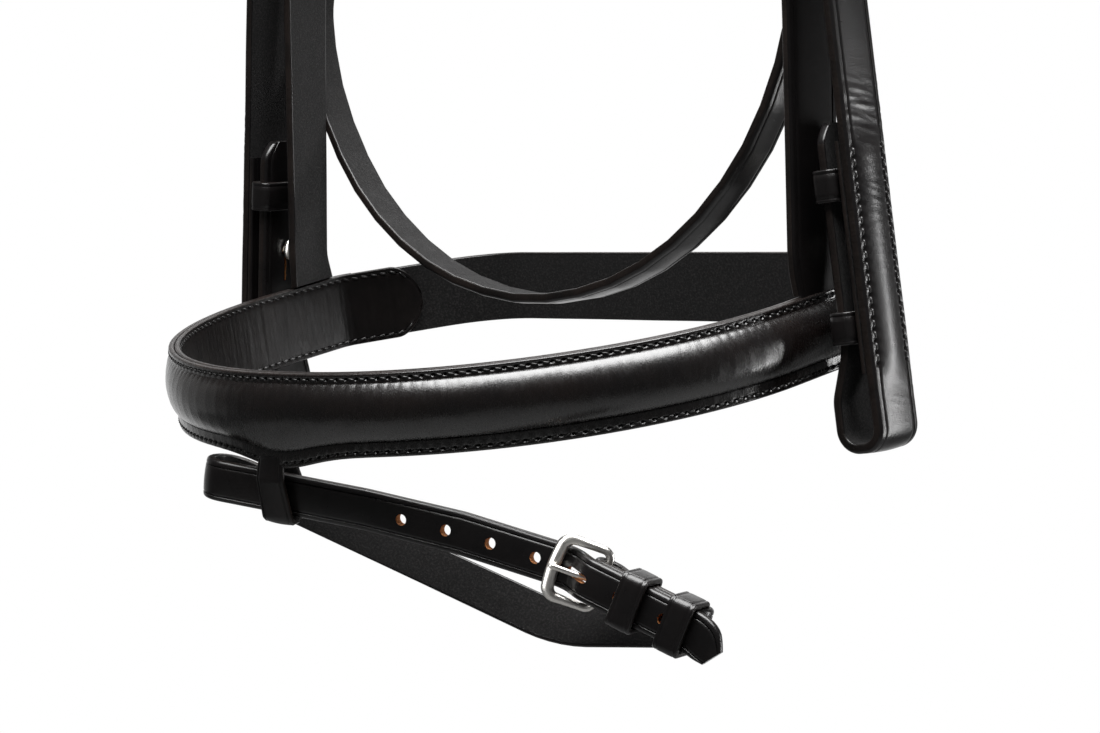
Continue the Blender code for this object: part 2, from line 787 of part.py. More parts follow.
strap("noseband_lining", NOSE_ROUTE, NOSEBAND_HEIGHT, LINING_LEATHER, lift=-FACE_LOW - LINING_LEATHER,
      tip_at_end=True, material=leather("noseband_lining", FLESH, 0.6))

# Chin strap, its chape and its buckle

CHIN_HEEL_RUN = RING_CHORD.length - CHIN_HEEL_FROM_CORNER
chin_out = RING_CHORD.cross(RING_UP)
chin_zone = Zone(ring_chord(CHIN_HEEL_RUN, 1), RING_CHORD, chin_out)
corners, radii, _ = chape_corners(chin_zone, CHIN_CHAPE_TAIL)
corners.append(ring_chord(NOSE_END_RUN + GAP, 1))
chape_route = Route(corners, radii + [0], [RING_UP] * len(corners))
strap("chin_chape", chape_route, CHIN_WIDTH, FLASH_LEATHER, lift=FACE_LOW,
      cutters=[chape_slot(chape_route, chin_zone, FLASH_LEATHER)])
corners, radii, _ = point_corners(chin_zone, CHIN_REACH, FLASH_LEATHER, CHIN_POINT_TAIL)
corners = [
    ring_chord(NOSE_END_RUN + GAP, -1),
    mirrored(RING_REAR_CORNER, -1),
    RING_REAR_CORNER,
] + corners
chin_route = Route(corners, [0, RING_SOFT_CORNER_RADIUS, RING_CORNER_RADIUS] + radii,
                   [RING_UP] * len(corners))
chin_holes = [used_hole(chin_route, chin_zone, CHIN_REACH, FLASH_LEATHER)]
chin_holes += spare_holes(chin_route, chin_zone, CHIN_REACH, FLASH_LEATHER, (-3, -2, -1, 1))
strap("chin_strap", chin_route, CHIN_WIDTH, FLASH_LEATHER, lift=FACE_LOW, tip_at_end=True,
      cutters=chin_holes, material=leather("chin_strap", FLESH, 0.7))
add_buckle("chin_buckle", chin_zone, CHIN_WIDTH, FLASH_LEATHER + FACE_LOW, CHIN_REACH)
low, high = -GAP - FACE_LOW - FLASH_LEATHER, 2 * FLASH_LEATHER + GAP + FACE_LOW
add_keeper("chin_fixed_keeper", chin_zone, -CHIN_FIXED_PLACE, CHIN_WIDTH, low, high)
add_keeper("chin_runner", chin_zone, -CHIN_RUNNER_PLACE, CHIN_WIDTH, low, high)

# Noseband head strap: a long strap from the off side over the poll, and a short one with the buckle

SIDEWAYS = Vector((0, -1, 0))


def head_line(side, lay=0.0, back=0.0):
    """The crown's corner and the bend's corner of a strap that runs over the poll."""
    crown = Vector((side * (CROWN_HALF_WIDTH + lay), back, lay))
    low = nose(side * (HEAD_BEND_HALF_WIDTH + lay), HEAD_STRAP_Y_AT_BEND + back, HEAD_BEND_HEIGHT)
    return crown, low


def sewn_end(side):
    """From the strap's bend down to the end that is sewn behind the flange."""
    x = side * HEAD_HALF_WIDTH
    return [
        head_line(side)[1],
        ring(x, STRAP_CENTRE, HALF_NOSEBAND + 2 * STRAP_TONGUE_DEPTH),
        ring(x, STRAP_CENTRE, HALF_NOSEBAND - STRAP_TONGUE_DEPTH),
    ]


def thinned(length, thickness, at_start):
    """Cuts, and the low and high faces, of a strap whose sewn end is pared down."""
    depth = STRAP_TONGUE_DEPTH + GAP
    edge = depth if at_start else length - depth
    step = GAP / 2
    inside = (edge - step, edge + step)

    def faces(along):
        thin = along < edge if at_start else along > edge
        return (thickness - STRAP_TONGUE if thin else 0.0), thickness

    return inside, faces


corner, low_corner = head_line(1)
head_zone = Zone(along_line(corner, low_corner, -HEAD_BUCKLE_DROP), corner - low_corner, (1, 0, 0))
corners, radii, acrosses = chape_corners(head_zone, CHAPE_TAIL)
short_route = Route(corners + sewn_end(1), radii + [HEAD_BEND_RADIUS, HEAD_BEND_RADIUS / 10, 0],
                    acrosses + [SIDEWAYS] * 3)
strap("noseband_short_strap", short_route, HEAD_STRAP_WIDTH, LEATHER,
      cutters=[chape_slot(short_route, head_zone, LEATHER)],
      thin=thinned(short_route.length, LEATHER, False))
corners, radii, acrosses = point_corners(head_zone, HEAD_BUCKLE_REACH, LEATHER, HEAD_POINT_TAIL)
over_poll = sewn_end(-1)[::-1] + [head_line(-1)[0], head_line(1)[0]]
long_radii = [0, HEAD_BEND_RADIUS / 10, HEAD_BEND_RADIUS, CROWN_RADIUS, CROWN_RADIUS] + radii
long_route = Route(over_poll + corners, long_radii, [SIDEWAYS] * len(over_poll) + acrosses)
head_holes = [used_hole(long_route, head_zone, HEAD_BUCKLE_REACH, LEATHER)]
head_holes += spare_holes(long_route, head_zone, HEAD_BUCKLE_REACH, LEATHER, (-3, -2, -1, 1, 2))
strap("noseband_head_strap", long_route, HEAD_STRAP_WIDTH, LEATHER, tip_at_end=True,
      cutters=head_holes, thin=thinned(long_route.length, LEATHER, True))
add_buckle("noseband_buckle", head_zone, HEAD_STRAP_WIDTH, LEATHER, HEAD_BUCKLE_REACH)
add_keepers("noseband", head_zone, HEAD_STRAP_WIDTH, LEATHER)

# Headpiece: a crown slit into a cheek lane and a throat lane on each side

CHEEK_BACK = -(THROAT_WIDTH + LANE_SLIT) / 2
THROAT_BACK = (CHEEK_WIDTH + LANE_SLIT) / 2


def cheek_zone(side):
    bottom = mirrored(nose(*CHEEK_BOTTOM), side)
    upper = mirrored(nose(*CHEEK_UPPER), side)
    return Zone(along_line(bottom, upper, -CHEEK_BUCKLE_DROP), upper - bottom, (side, 0, 0))


def throat_zone(name):
    side = SIDES[name]
    heel = Vector((side * THROAT_TOP_X, THROAT_BACK_Y + NOSEBAND_SETBACK, -THROAT_BUCKLE_DROP))
    x, height = THROAT_KNEE[name]
    return Zone(heel, heel - nose(side * x, THROAT_BACK_Y, height), (side, 0, 0))


def lane_side(side, zone, reach, tail, back, leave_drop):
    """One side of a headpiece lane, from the crown down to its point."""
    crown, low = head_line(side, HEADPIECE_LAY, back)
    corners, radii, acrosses = point_corners(zone, reach, LEATHER, tail)
    leave = along_line(crown, low, -leave_drop)
    approach = zone.place(reach + THROAT_APPROACH, 0.0)
    corners = [crown, leave, approach] + corners
    radii = [CROWN_RADIUS + HEADPIECE_LAY, LANE_BEND, LANE_BEND / 2] + radii
    return corners, radii, [SIDEWAYS] * 2 + [zone.w * side] + [a * side for a in acrosses]


def lane_route(zones, reach, tail, back, leave_drop):
    right, right_radii, right_ways = lane_side(-1, zones["right"], reach, tail, back, leave_drop)
    left, left_radii, left_ways = lane_side(1, zones["left"], reach, tail, back, leave_drop)
    return Route(right[::-1] + left, right_radii[::-1] + left_radii, right_ways[::-1] + left_ways)


def lane_holes(route, zones, reach, steps):
    """Holes on both points. The right point's tip is at the route's start."""
    holes = []
    for name, side in SIDES.items():
        holes.append(used_hole(route, zones[name], reach, LEATHER))
        outward = [side * step for step in steps]
        holes += spare_holes(route, zones[name], reach, LEATHER, outward)
    return holes


def joined(name, others, material):
    """One body from overlapping pieces."""
    first = others[0]
    for other in others[1:]:
        other.hide_render = True
        other.display_type = "WIRE"
        union = first.modifiers.new("sewn", "BOOLEAN")
        union.operation = "UNION"
        union.solver = "EXACT"
        union.object = other
    first.name = name
    first.data.materials.clear()
    first.data.materials.append(material)
    return first


CHEEK_ZONES = {name: cheek_zone(side) for name, side in SIDES.items()}
THROAT_ZONES = {name: throat_zone(name) for name in SIDES}
cheek_lane = lane_route(CHEEK_ZONES, CHEEK_BUCKLE_REACH, POINT_TAIL, CHEEK_BACK, HEADPIECE_LEAVE_DROP)
throat_lane = lane_route(THROAT_ZONES, THROAT_BUCKLE_REACH, CHAPE_TAIL, THROAT_BACK, THROAT_LEAVE_DROP)
cheek_strip = strap("cheek_lane", cheek_lane, CHEEK_WIDTH, LEATHER, tip_at_end=True, tip_at_start=True,
                    cutters=lane_holes(cheek_lane, CHEEK_ZONES, CHEEK_BUCKLE_REACH, (-2, -1, 1)))
throat_strip = strap("throat_lane", throat_lane, THROAT_WIDTH, LEATHER, tip_at_end=True,
                     tip_at_start=True,
                     cutters=lane_holes(throat_lane, THROAT_ZONES, THROAT_BUCKLE_REACH, (-2, -1, 1)))
bridge_back = CHEEK_BACK + (CHEEK_WIDTH + LANE_SLIT) / 2
crowns = [head_line(side, HEADPIECE_LAY, bridge_back) for side in (-1, 1)]
crown_route = Route([crowns[0][1], crowns[0][0], crowns[1][0], crowns[1][1]],
                    [0, CROWN_RADIUS + HEADPIECE_LAY, CROWN_RADIUS + HEADPIECE_LAY, 0], [SIDEWAYS] * 4)
middle = crown_route.length / 2
bridge = strap("bridge", crown_route, LANE_SLIT * 2, LEATHER - 2 * BRIDGE_SINK, lift=BRIDGE_SINK,
               start=middle - HEADPIECE_SPLIT, end=middle + HEADPIECE_SPLIT)
joined("headpiece", [cheek_strip, throat_strip, bridge], leather("headpiece", BLACK, 0.4))

# Cheekpieces, each with a bit loop and a billet that hooks on a stud

for name, side in SIDES.items():
    zone = CHEEK_ZONES[name]
    drop = (zone.origin - mirrored(nose(*CHEEK_BOTTOM), side)).length
    corners, radii, _ = chape_corners(zone, CHAPE_TAIL)
    corners += [
        zone.place(LEATHER - drop, 0.0),
        zone.place(LEATHER - drop, -2 * BIT_LOOP_RADIUS),
        zone.place(BILLET_FLARE_HEIGHT - drop, -2 * BIT_LOOP_RADIUS),
        zone.place(BILLET_STRAIGHT_HEIGHT - drop, -BILLET_STAND),
        zone.place(BILLET_LENGTH - drop, -BILLET_STAND),
    ]
    radii += [BIT_LOOP_CORNER, BIT_LOOP_CORNER, BILLET_BEND / 2, BILLET_BEND, 0]
    route = Route(corners, radii, [zone.w] * len(corners))
    stud_at = route.nearest(zone.place(STUD_HEIGHT - drop, -BILLET_STAND))
    slit = box_outline(stud_at - STUD_SLIT, stud_at, -TONGUE_RADIUS / 2, TONGUE_RADIUS / 2)
    holes = [
        chape_slot(route, zone, LEATHER),
        (slit, -OVERRUN, LEATHER + OVERRUN),
        (oval(stud_at, 0.0, STUD_HOLE_RADIUS, 0.0), -OVERRUN, LEATHER + OVERRUN),
    ]
    strap(f"cheekpiece_{name}", route, CHEEK_WIDTH, LEATHER, tip_at_end=True, cutters=holes)
    backing_route = Route([zone.place(BACKING_START - drop, 0.0), zone.place(BACKING_END - drop, 0.0)],
                          [0, 0], [zone.w] * 2)
    strap(f"cheek_backing_{name}", backing_route, CHEEK_WIDTH, BACKING_LEATHER, lift=GAP)
    inner_face = GAP + BACKING_LEATHER
    for part, height in (("lower", LOWER_KEEPER_HEIGHT), ("upper", UPPER_KEEPER_HEIGHT)):
        add_keeper(f"cheek_{part}_keeper_{name}", zone, height - drop, CHEEK_WIDTH,
                   -BILLET_STAND - LEATHER, -inner_face - GAP - KEEPER_LEATHER - KEEPER_CLEARANCE,
                   BILLET_KEEPER_WIDTH)
    base = inner_face + GAP
    head_middle = BILLET_STAND + LEATHER + GAP + STUD_HEAD[2]
    profile = [(base, STUD_FLANGE_RADIUS, 1), (base + STUD_FLANGE, STUD_FLANGE_RADIUS, 1),
               (base + STUD_FLANGE, STUD_NECK_RADIUS, 1),
               (head_middle - STUD_HEAD[2], STUD_NECK_RADIUS, 1)]
    stretch = STUD_HEAD[1] / STUD_HEAD[0]
    for k in range(1, 6):
        angle = math.pi * (1 - k / 6)
        profile.append((head_middle + STUD_HEAD[2] * math.cos(angle),
                        STUD_HEAD[0] * math.sin(angle), stretch))
    points, faces = [], []
    sides = TUBE_SIDES + 2
    for depth, radius, pull in profile:
        for k in range(sides):
            angle = 2 * math.pi * k / sides
            points.append(zone.place(STUD_HEIGHT - drop + radius * pull * math.cos(angle), -depth,
                                     radius * math.sin(angle)))
    for i in range(len(profile) - 1):
        for k in range(sides):
            j = (k + 1) % sides
            faces.append((i * sides + k, i * sides + j, (i + 1) * sides + j, (i + 1) * sides + k))
    faces.append(tuple(range(sides)))
    faces.append(tuple(range((len(profile) - 1) * sides, len(profile) * sides)))
    add_piece(f"hook_stud_{name}", points, faces, finish(f"hook_stud_{name}", NICKEL, 0.2, 1.0),
              zone.place(STUD_HEIGHT - drop, -base), True)
    add_buckle(f"cheek_buckle_{name}", zone, CHEEK_WIDTH, LEATHER, CHEEK_BUCKLE_REACH)
    add_keepers(f"cheek_{name}", zone, CHEEK_WIDTH, LEATHER)

# Throatlash, buckled to the headpiece's throat points on both sides


def throat_side(name):
    """From the buckle down to the top of the loop that hangs under the jaw."""
    zone = THROAT_ZONES[name]
    corners, radii, acrosses = chape_corners(zone, CHAPE_TAIL)
    x, height = THROAT_KNEE[name]
    corners.append(nose(SIDES[name] * x, THROAT_BACK_Y, height))
    return corners, radii + [THROAT_BEND / 2], [a * SIDES[name] for a in acrosses] + [SIDEWAYS]


left, left_radii, left_ways = throat_side("left")
right, right_radii, right_ways = throat_side("right")
hanging = []
for k in range(THROAT_ARC_STEPS + 1):
    angle = lerp(THROAT_ARC["left"], -THROAT_ARC["right"], k / THROAT_ARC_STEPS)
    x = THROAT_SHIFT + THROAT_RADIUS * math.sin(angle)
    height = THROAT_BOTTOM + THROAT_RADIUS * (1 - math.cos(angle))
    hanging.append(nose(x, THROAT_Y + THROAT_Y_SLOPE * x, height))
throat_radii = left_radii + [THROAT_BEND / 4] + [0] * (len(hanging) - 2) + [THROAT_BEND / 4]
throat_route = Route(left + hanging + right[::-1], throat_radii + right_radii[::-1],
                     left_ways + [SIDEWAYS] * len(hanging) + right_ways[::-1])
strap("throatlash", throat_route, THROAT_WIDTH, LEATHER,
      cutters=[chape_slot(throat_route, THROAT_ZONES[name], LEATHER) for name in SIDES])
for name, zone in THROAT_ZONES.items():
    add_buckle(f"throat_buckle_{name}", zone, THROAT_WIDTH, LEATHER, THROAT_BUCKLE_REACH)
    add_keepers(f"throat_{name}", zone, THROAT_WIDTH, LEATHER)

# Browband: its ends are folded into loops that the headpiece and the head strap pass through

BROW_STACK = 2 * LEATHER + HEADPIECE_LAY / 2


def brow_side(side):
    crown, low = head_line(side)
    zone = Zone(along_line(crown, low, -BROWBAND_DROP), crown - low, (side, 0, 0))
    half = (CHEEK_WIDTH + LANE_SLIT + THROAT_WIDTH) / 2 + BROW_PLAY
    outer, inner = BROW_STACK + BROW_PLAY, -BROW_PLAY
    forward = zone.w if zone.w.y < 0 else -zone.w

    def at(ahead, out):
        return zone.origin + forward * ahead + zone.n * out

    corners = [
        at(half + BROW_LOOP_LAP, outer - GAP),
        at(half + BROW_LOOP_LAP / 2, outer - GAP),
        at(half, inner),
        at(-half, inner),
        at(-half, outer),
        at(BROWBAND_REACH, outer),
    ]
    radii = [0, BROW_LAP_BEND] + [BROW_LOOP_BEND] * 3 + [BROWBAND_BEND]
    return corners, radii, [zone.u] * 5 + [Vector((0, 0, 1))]


left, left_radii, left_ups = brow_side(1)
right, right_radii, right_ups = brow_side(-1)
brow_route = Route(left + right[::-1], left_radii + right_radii[::-1], left_ups + right_ups[::-1])
strap("browband", brow_route, BROWBAND_WIDTH, BROWBAND_LEATHER)

# Flash loop, and the flash strap that hangs in it

flash_way = Vector((math.cos(FLASH_TURN), math.sin(FLASH_TURN), 0))
flash_back = Vector((-math.sin(FLASH_TURN), math.cos(FLASH_TURN), 0))
DOWN = Vector((0, 0, -1))
flash_origin = ring(-FLASH_SHIFT, FLASH_LEATHER + FLASH_LOOP_PLAY - RING_FRONT - GAP,
                    -HALF_NOSEBAND - FLASH_DROP)


def flash(run, drop, back=0.0):
    """World point from the strap's place in its loop: along it, down and back."""
    return flash_origin + flash_way * run + DOWN * drop + flash_back * back


loop_way = (flash_way + DOWN * math.tan(FLASH_LOOP_SLOPE)).normalized()
loop_out = (-RING_UP).cross(loop_way).normalized()
loop_down = loop_way.cross(loop_out)


def in_loop(out, down, along=0.0):
    """World point in the loop, from the inner face and the middle of the strap in it."""
    return flash_origin + loop_out * out + loop_down * down + loop_way * along


loop_front = FLASH_LEATHER + FLASH_LOOP_PLAY
loop_low = FLASH_WIDTH / 2 + FLASH_LOOP_PLAY
loop_edges = [
    NOSE_ROUTE.place(FLASH_CENTRE + reach, 0.0, GAP)
    for reach in (-FLASH_LOOP_WIDTH / 2, FLASH_LOOP_WIDTH / 2)
]
loop_seat = loop_edges[0].lerp(loop_edges[1], 1 / 2)
AWAY = (loop_edges[1] - loop_edges[0]).normalized()
loop_route = Route(
    [
        loop_seat + RING_UP * (STRAP_TONGUE_DEPTH - HALF_NOSEBAND),
        loop_seat + RING_UP * (-HALF_NOSEBAND - FLASH_LOOP_DROP),
        in_loop(loop_front + FLASH_LOOP_EASE, FLASH_LOOP_BEND - loop_low, -FLASH_LOOP_SHIFT),
        in_loop(loop_front, loop_low),
        in_loop(-FLASH_LOOP_PLAY, loop_low),
        in_loop(-FLASH_LOOP_PLAY, -loop_low - FLASH_LOOP_RISE),
    ],
    [0, FLASH_LOOP_BEND, FLASH_LOOP_BEND, FLASH_LOOP_TURN, FLASH_LOOP_TURN, 0],
    [AWAY, AWAY, AWAY.lerp(-loop_way, 1 / 2)] + [-loop_way] * 3,
)


def loop_faces(along):
    """The loop's leather, pared down where it is sewn behind the flange."""
    return 0.0, STRAP_TONGUE if along < STRAP_TONGUE_DEPTH + GAP else FLASH_LOOP_LEATHER


loop_steps = (STRAP_TONGUE_DEPTH + GAP / 2, STRAP_TONGUE_DEPTH + GAP * 3 / 2)
strap("flash_loop", loop_route, FLASH_LOOP_WIDTH, FLASH_LOOP_LEATHER, thin=(loop_steps, loop_faces))

flash_zone = Zone(
    flash(FLASH_BUCKLE_RUN, FLASH_BUCKLE_DROP),
    -flash_way * math.cos(FLASH_SLOPE) - DOWN * math.sin(FLASH_SLOPE),
    -flash_back,
)
left_rise = -FLASH_LEFT * math.tan(FLASH_LOOP_SLOPE)
sag_drop = FLASH_SAG_RUN * math.tan(FLASH_LOOP_SLOPE) + FLASH_SAG
upright = flash_zone.w
tilted = DOWN * math.cos(FLASH_SAG_TILT) - flash_back * math.sin(FLASH_SAG_TILT)
corners, radii, acrosses = chape_corners(flash_zone, CHAPE_TAIL)
right_bend = -FLASH_RIGHT_RUN - FLASH_RIGHT_RADIUS
corners += [
    flash_zone.place(right_bend, 0.0),
    flash_zone.place(right_bend, -2 * FLASH_RIGHT_RADIUS),
    flash(FLASH_SAG_RUN, sag_drop, FLASH_BACK),
    flash(-FLASH_LEFT, left_rise, 2 * FLASH_LEFT_RADIUS),
    flash(-FLASH_LEFT, left_rise),
    flash(FLASH_FIRST_RUN, FLASH_FIRST_DROP),
    flash(FLASH_SECOND_RUN, FLASH_SECOND_DROP),
    flash_zone.place(FLASH_APPROACH, 0.0),
]
radii += [FLASH_RIGHT_RADIUS, FLASH_RIGHT_RADIUS, FLASH_BEND, FLASH_LEFT_BEND, FLASH_LEFT_BEND,
          FLASH_KNEE_BEND, FLASH_KNEE_BEND, FLASH_APPROACH_BEND]
leaning = -RING_UP * math.cos(FLASH_LEFT_LEAN) - flash_way * math.sin(FLASH_LEFT_LEAN)
acrosses += [upright, upright, tilted, leaning, leaning, -RING_UP, upright, upright]
point_tail = FLASH_RUNNER_PLACE + KEEPER_WIDTH / 2 + FLASH_TIP_LEAD
point, point_radii, _ = point_corners(flash_zone, FLASH_REACH, FLASH_LEATHER, point_tail)
tip = flash_zone.place(-point_tail - FLASH_TIP_RUN, FLASH_LEATHER + GAP, FLASH_TIP_DIP)
corners += point + [tip]
radii += point_radii[:-1] + [FLASH_TIP_BEND, 0]
acrosses += [upright] * 4
flash_route = Route(corners, radii, acrosses)
flash_holes = [chape_slot(flash_route, flash_zone, FLASH_LEATHER),
               used_hole(flash_route, flash_zone, FLASH_REACH, FLASH_LEATHER)]
flash_steps = (-4, -3, -2, -1, 1, 2)
flash_holes += spare_holes(flash_route, flash_zone, FLASH_REACH, FLASH_LEATHER, flash_steps)
strap("flash_strap", flash_route, FLASH_WIDTH, FLASH_LEATHER, tip_at_end=True, cutters=flash_holes,
      origin=flash_origin)
add_buckle("flash_buckle", flash_zone, FLASH_WIDTH, FLASH_LEATHER, FLASH_REACH)
add_keepers("flash", flash_zone, FLASH_WIDTH, FLASH_LEATHER, FLASH_FIXED_PLACE, FLASH_RUNNER_PLACE,
            FLASH_KEEPER_ROOM)
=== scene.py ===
import bisect
import json
import math

import bmesh
import bpy
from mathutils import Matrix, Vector, noise

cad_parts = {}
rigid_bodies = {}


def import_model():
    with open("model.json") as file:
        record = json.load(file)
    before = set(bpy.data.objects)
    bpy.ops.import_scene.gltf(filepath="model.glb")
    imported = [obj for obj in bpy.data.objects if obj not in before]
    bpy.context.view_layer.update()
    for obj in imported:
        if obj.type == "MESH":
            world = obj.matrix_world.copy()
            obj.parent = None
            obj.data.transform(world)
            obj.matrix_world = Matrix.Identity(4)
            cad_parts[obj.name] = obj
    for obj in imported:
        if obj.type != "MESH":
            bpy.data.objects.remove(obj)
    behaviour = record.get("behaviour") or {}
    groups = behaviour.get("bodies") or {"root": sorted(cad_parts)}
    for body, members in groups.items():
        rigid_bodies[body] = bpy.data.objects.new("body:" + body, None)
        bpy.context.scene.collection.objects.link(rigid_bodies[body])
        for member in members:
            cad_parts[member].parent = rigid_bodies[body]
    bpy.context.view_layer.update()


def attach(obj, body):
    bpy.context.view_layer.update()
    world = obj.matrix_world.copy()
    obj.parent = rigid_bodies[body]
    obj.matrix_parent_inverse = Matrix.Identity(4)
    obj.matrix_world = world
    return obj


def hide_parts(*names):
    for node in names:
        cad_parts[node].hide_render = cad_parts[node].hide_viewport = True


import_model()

# ---------------------------------------------------------------------------
# Noseband. A wide band of black calf wrapped over a soft core, with a flat
# stitched flange above and below the swell, and sewn to a black lining that
# runs on past it at the far cheek. Both are cut flat, then bent to the nose.

MM = 0.001
BEND_STEP = math.radians(6)
BEND_SAG = 0.04 * MM
LEAST_TURN = 0.002
LEAST_RUN = 0.2 * MM
LEAST_CUT = 0.1 * MM
THROUGH = (-5 * MM, 12 * MM)
SHARP = math.radians(50)


class Line:
    """Where a strap lies: a line with rounded corners, and the way across at each point."""

    def __init__(self, table, step=BEND_STEP):
        corners = [Vector(row[0:3]) * MM for row in table]
        bends = [row[3] * MM for row in table]
        ways = [Vector(row[4:7]).normalized() for row in table]
        points, shares = [corners[0]], [0.0]
        for i in range(1, len(corners) - 1):
            before, after = corners[i] - corners[i - 1], corners[i + 1] - corners[i]
            turn, bend = before.angle(after), bends[i]
            if turn < LEAST_TURN or bend == 0:
                points.append(corners[i])
                shares.append(float(i))
                continue
            reach = bend * math.tan(turn / 2)
            inward = (after.normalized() - before.normalized()).normalized()
            centre = corners[i] + inward * (bend / math.cos(turn / 2))
            spoke = corners[i] - before.normalized() * reach - centre
            axis = before.cross(after).normalized()
            fine = min(step, 2 * math.acos(1 - BEND_SAG / bend))
            count = max(2, math.ceil(turn / fine))
            for k in range(count + 1):
                angle = turn * k / count
                points.append(centre + spoke * math.cos(angle) + axis.cross(spoke) * math.sin(angle))
                start, end = i - reach / before.length, i + reach / after.length
                shares.append(start + (end - start) * k / count)
        points.append(corners[-1])
        shares.append(float(len(corners) - 1))
        self.points, kept = [points[0]], [0.0]
        for point, share in zip(points[1:], shares[1:]):
            if (point - self.points[-1]).length > LEAST_RUN:
                self.points.append(point)
                kept.append(share)
        self.at = [0.0]
        for a, b in zip(self.points, self.points[1:]):
            self.at.append(self.at[-1] + (b - a).length)
        self.length = self.at[-1]
        self.across, self.out = [], []
        last = len(self.points) - 1
        for i, point in enumerate(self.points):
            ahead = self.points[min(i + 1, last)] - point
            behind = point - self.points[max(i - 1, 0)]
            tangent = (ahead.normalized() + behind.normalized()).normalized()
            j = min(int(kept[i]), len(ways) - 2)
            out = ways[j].lerp(ways[j + 1], kept[i] - j).cross(tangent).normalized()
            self.across.append(tangent.cross(out))
            self.out.append(out)

    def place(self, along, across, out):
        """The bent place of a point of the flat strap."""
        i = max(0, min(bisect.bisect_right(self.at, along) - 1, len(self.points) - 2))
        share = (along - self.at[i]) / (self.at[i + 1] - self.at[i])
        point = self.points[i].lerp(self.points[i + 1], share)
        sideways = self.across[i].lerp(self.across[i + 1], share)
        return point + sideways * across + self.out[i].lerp(self.out[i + 1], share) * out

    def nearest(self, point):
        """How far along the line the place nearest to this point lies."""
        best = (1e9, 0.0)
        for i, (a, b) in enumerate(zip(self.points, self.points[1:])):
            run = b - a
            share = max(0.0, min(1.0, (point - a).dot(run) / run.length_squared))
            best = min(best, ((point - a - run * share).length, self.at[i] + run.length * share))
        return best[1]

    def cuts(self, start, end, most):
        """Where to cut a stretch across: at each turn, and no further apart than most."""
        ends = [start] + [d for d in self.at if start + LEAST_CUT < d < end - LEAST_CUT] + [end]
        found = [start]
        for a, b in zip(ends, ends[1:]):
            count = max(1, math.ceil((b - a) / most))
            found += [a + (b - a) * (k + 1) / count for k in range(count)]
        return found


def between(a, b, count):
    """The faces between two rings of count points, the first starting at point a and the second at b."""
    return [(a + j, a + (j + 1) % count, b + (j + 1) % count, b + j) for j in range(count)]


def loft(cuts, section):
    """A closed skin, still flat, through the outline that section gives at each cut."""
    rings = [[Vector((along, a, o)) for a, o in section(along)] for along in cuts]
    count = len(rings[0])
    points = [p for ring in rings for p in ring]
    faces = []
    for i in range(len(rings) - 1):
        faces += between(i * count, (i + 1) * count, count)
    faces.append(tuple(range(count)))
    faces.append(tuple(range(len(points) - count, len(points)))[::-1])
    return points, faces


def skin_mesh(name, points, faces):
    mesh = bpy.data.meshes.new(name)
    mesh.from_pydata(points, [], faces)
    return mesh


def link(name, mesh):
    piece = bpy.data.objects.new(name, mesh)
    bpy.context.collection.objects.link(piece)
    return piece


def face_out(mesh):
    """Turn every face of a closed skin outwards."""
    shell = bmesh.new()
    shell.from_mesh(mesh)
    bmesh.ops.recalc_face_normals(shell, faces=shell.faces)
    shell.to_mesh(mesh)
    shell.free()


def keep_flat(mesh, places):
    """Note where each point lay before it was bent, because the grain of the leather follows that."""
    flat = mesh.attributes.new("flat", "FLOAT_VECTOR", "POINT")
    for i, place in enumerate(places):
        flat.data[i].vector = place


def punch(points, faces, drifts):
    """The flat skin with its holes and pockets cut in it, each drift an outline, its low and its high end."""
    flat = link("flat", skin_mesh("flat", points, faces))
    made = [flat]
    for hole, low, high in drifts:
        count = len(hole)
        ends = [(x, y, low) for x, y in hole] + [(x, y, high) for x, y in hole]
        sides = [tuple(range(count))[::-1], tuple(range(count, 2 * count))]
        sides += [(i, (i + 1) % count, (i + 1) % count + count, i + count) for i in range(count)]
        made.append(link("drift", skin_mesh("drift", ends, sides)))
    for mesh in [piece.data for piece in made]:
        face_out(mesh)
    for piece in made[1:]:
        cut = flat.modifiers.new("hole", "BOOLEAN")
        cut.operation, cut.solver, cut.object = "DIFFERENCE", "EXACT", piece
    bpy.context.view_layer.update()
    seen = flat.evaluated_get(bpy.context.evaluated_depsgraph_get()).to_mesh()
    points = [v.co.copy() for v in seen.vertices]
    faces = [tuple(p.vertices) for p in seen.polygons]
    for piece in made:
        bpy.data.objects.remove(piece)
    return points, faces


def inside(point, hole):
    """Whether a point of the flat strap lies within the hole's extent."""
    xs, ys = [p[0] for p in hole], [p[1] for p in hole]
    slack = 0.01 * MM
    return min(xs) - slack < point.x < max(xs) + slack and min(ys) - slack < point.y < max(ys) + slack


def bend_piece(name, skin, line, finishes, side_of, holes=(), pockets=(), shift=None):
    """The flat skin bent along its line. side_of picks each face's finish from its place in the flat
    leather, and the walls of the punched holes take the last finish."""
    points, faces = skin
    if holes or pockets:
        points, faces = punch(points, faces, [(hole, *THROUGH) for hole in holes] + list(pockets))
    mesh = skin_mesh(name, [line.place(*(shift(p) if shift else p)) for p in points], faces)
    piece = link(name, mesh)
    keep_flat(mesh, points)
    for finish in finishes:
        mesh.materials.append(finish)
    for face in mesh.polygons:
        middle = sum((points[v] for v in face.vertices), Vector()) / len(face.vertices)
        a, b, c = (points[v] for v in face.vertices[:3])
        upright = abs((b - a).cross(c - b).normalized().z) < 0.5
        raw = upright and any(inside(middle, hole) for hole in holes)
        face.material_index = len(finishes) - 1 if raw else side_of(middle)
    face_out(mesh)
    mesh.shade_smooth()
    mesh.set_sharp_from_angle(angle=SHARP)
    evened = piece.modifiers.new("evened", "WEIGHTED_NORMAL")
    evened.keep_sharp = True
    return piece


def new_finish(name):
    """A material with its nodes and their links, ready to be built up."""
    finish = bpy.data.materials.new(name)
    finish.use_nodes = True
    return finish, finish.node_tree.nodes, finish.node_tree.links


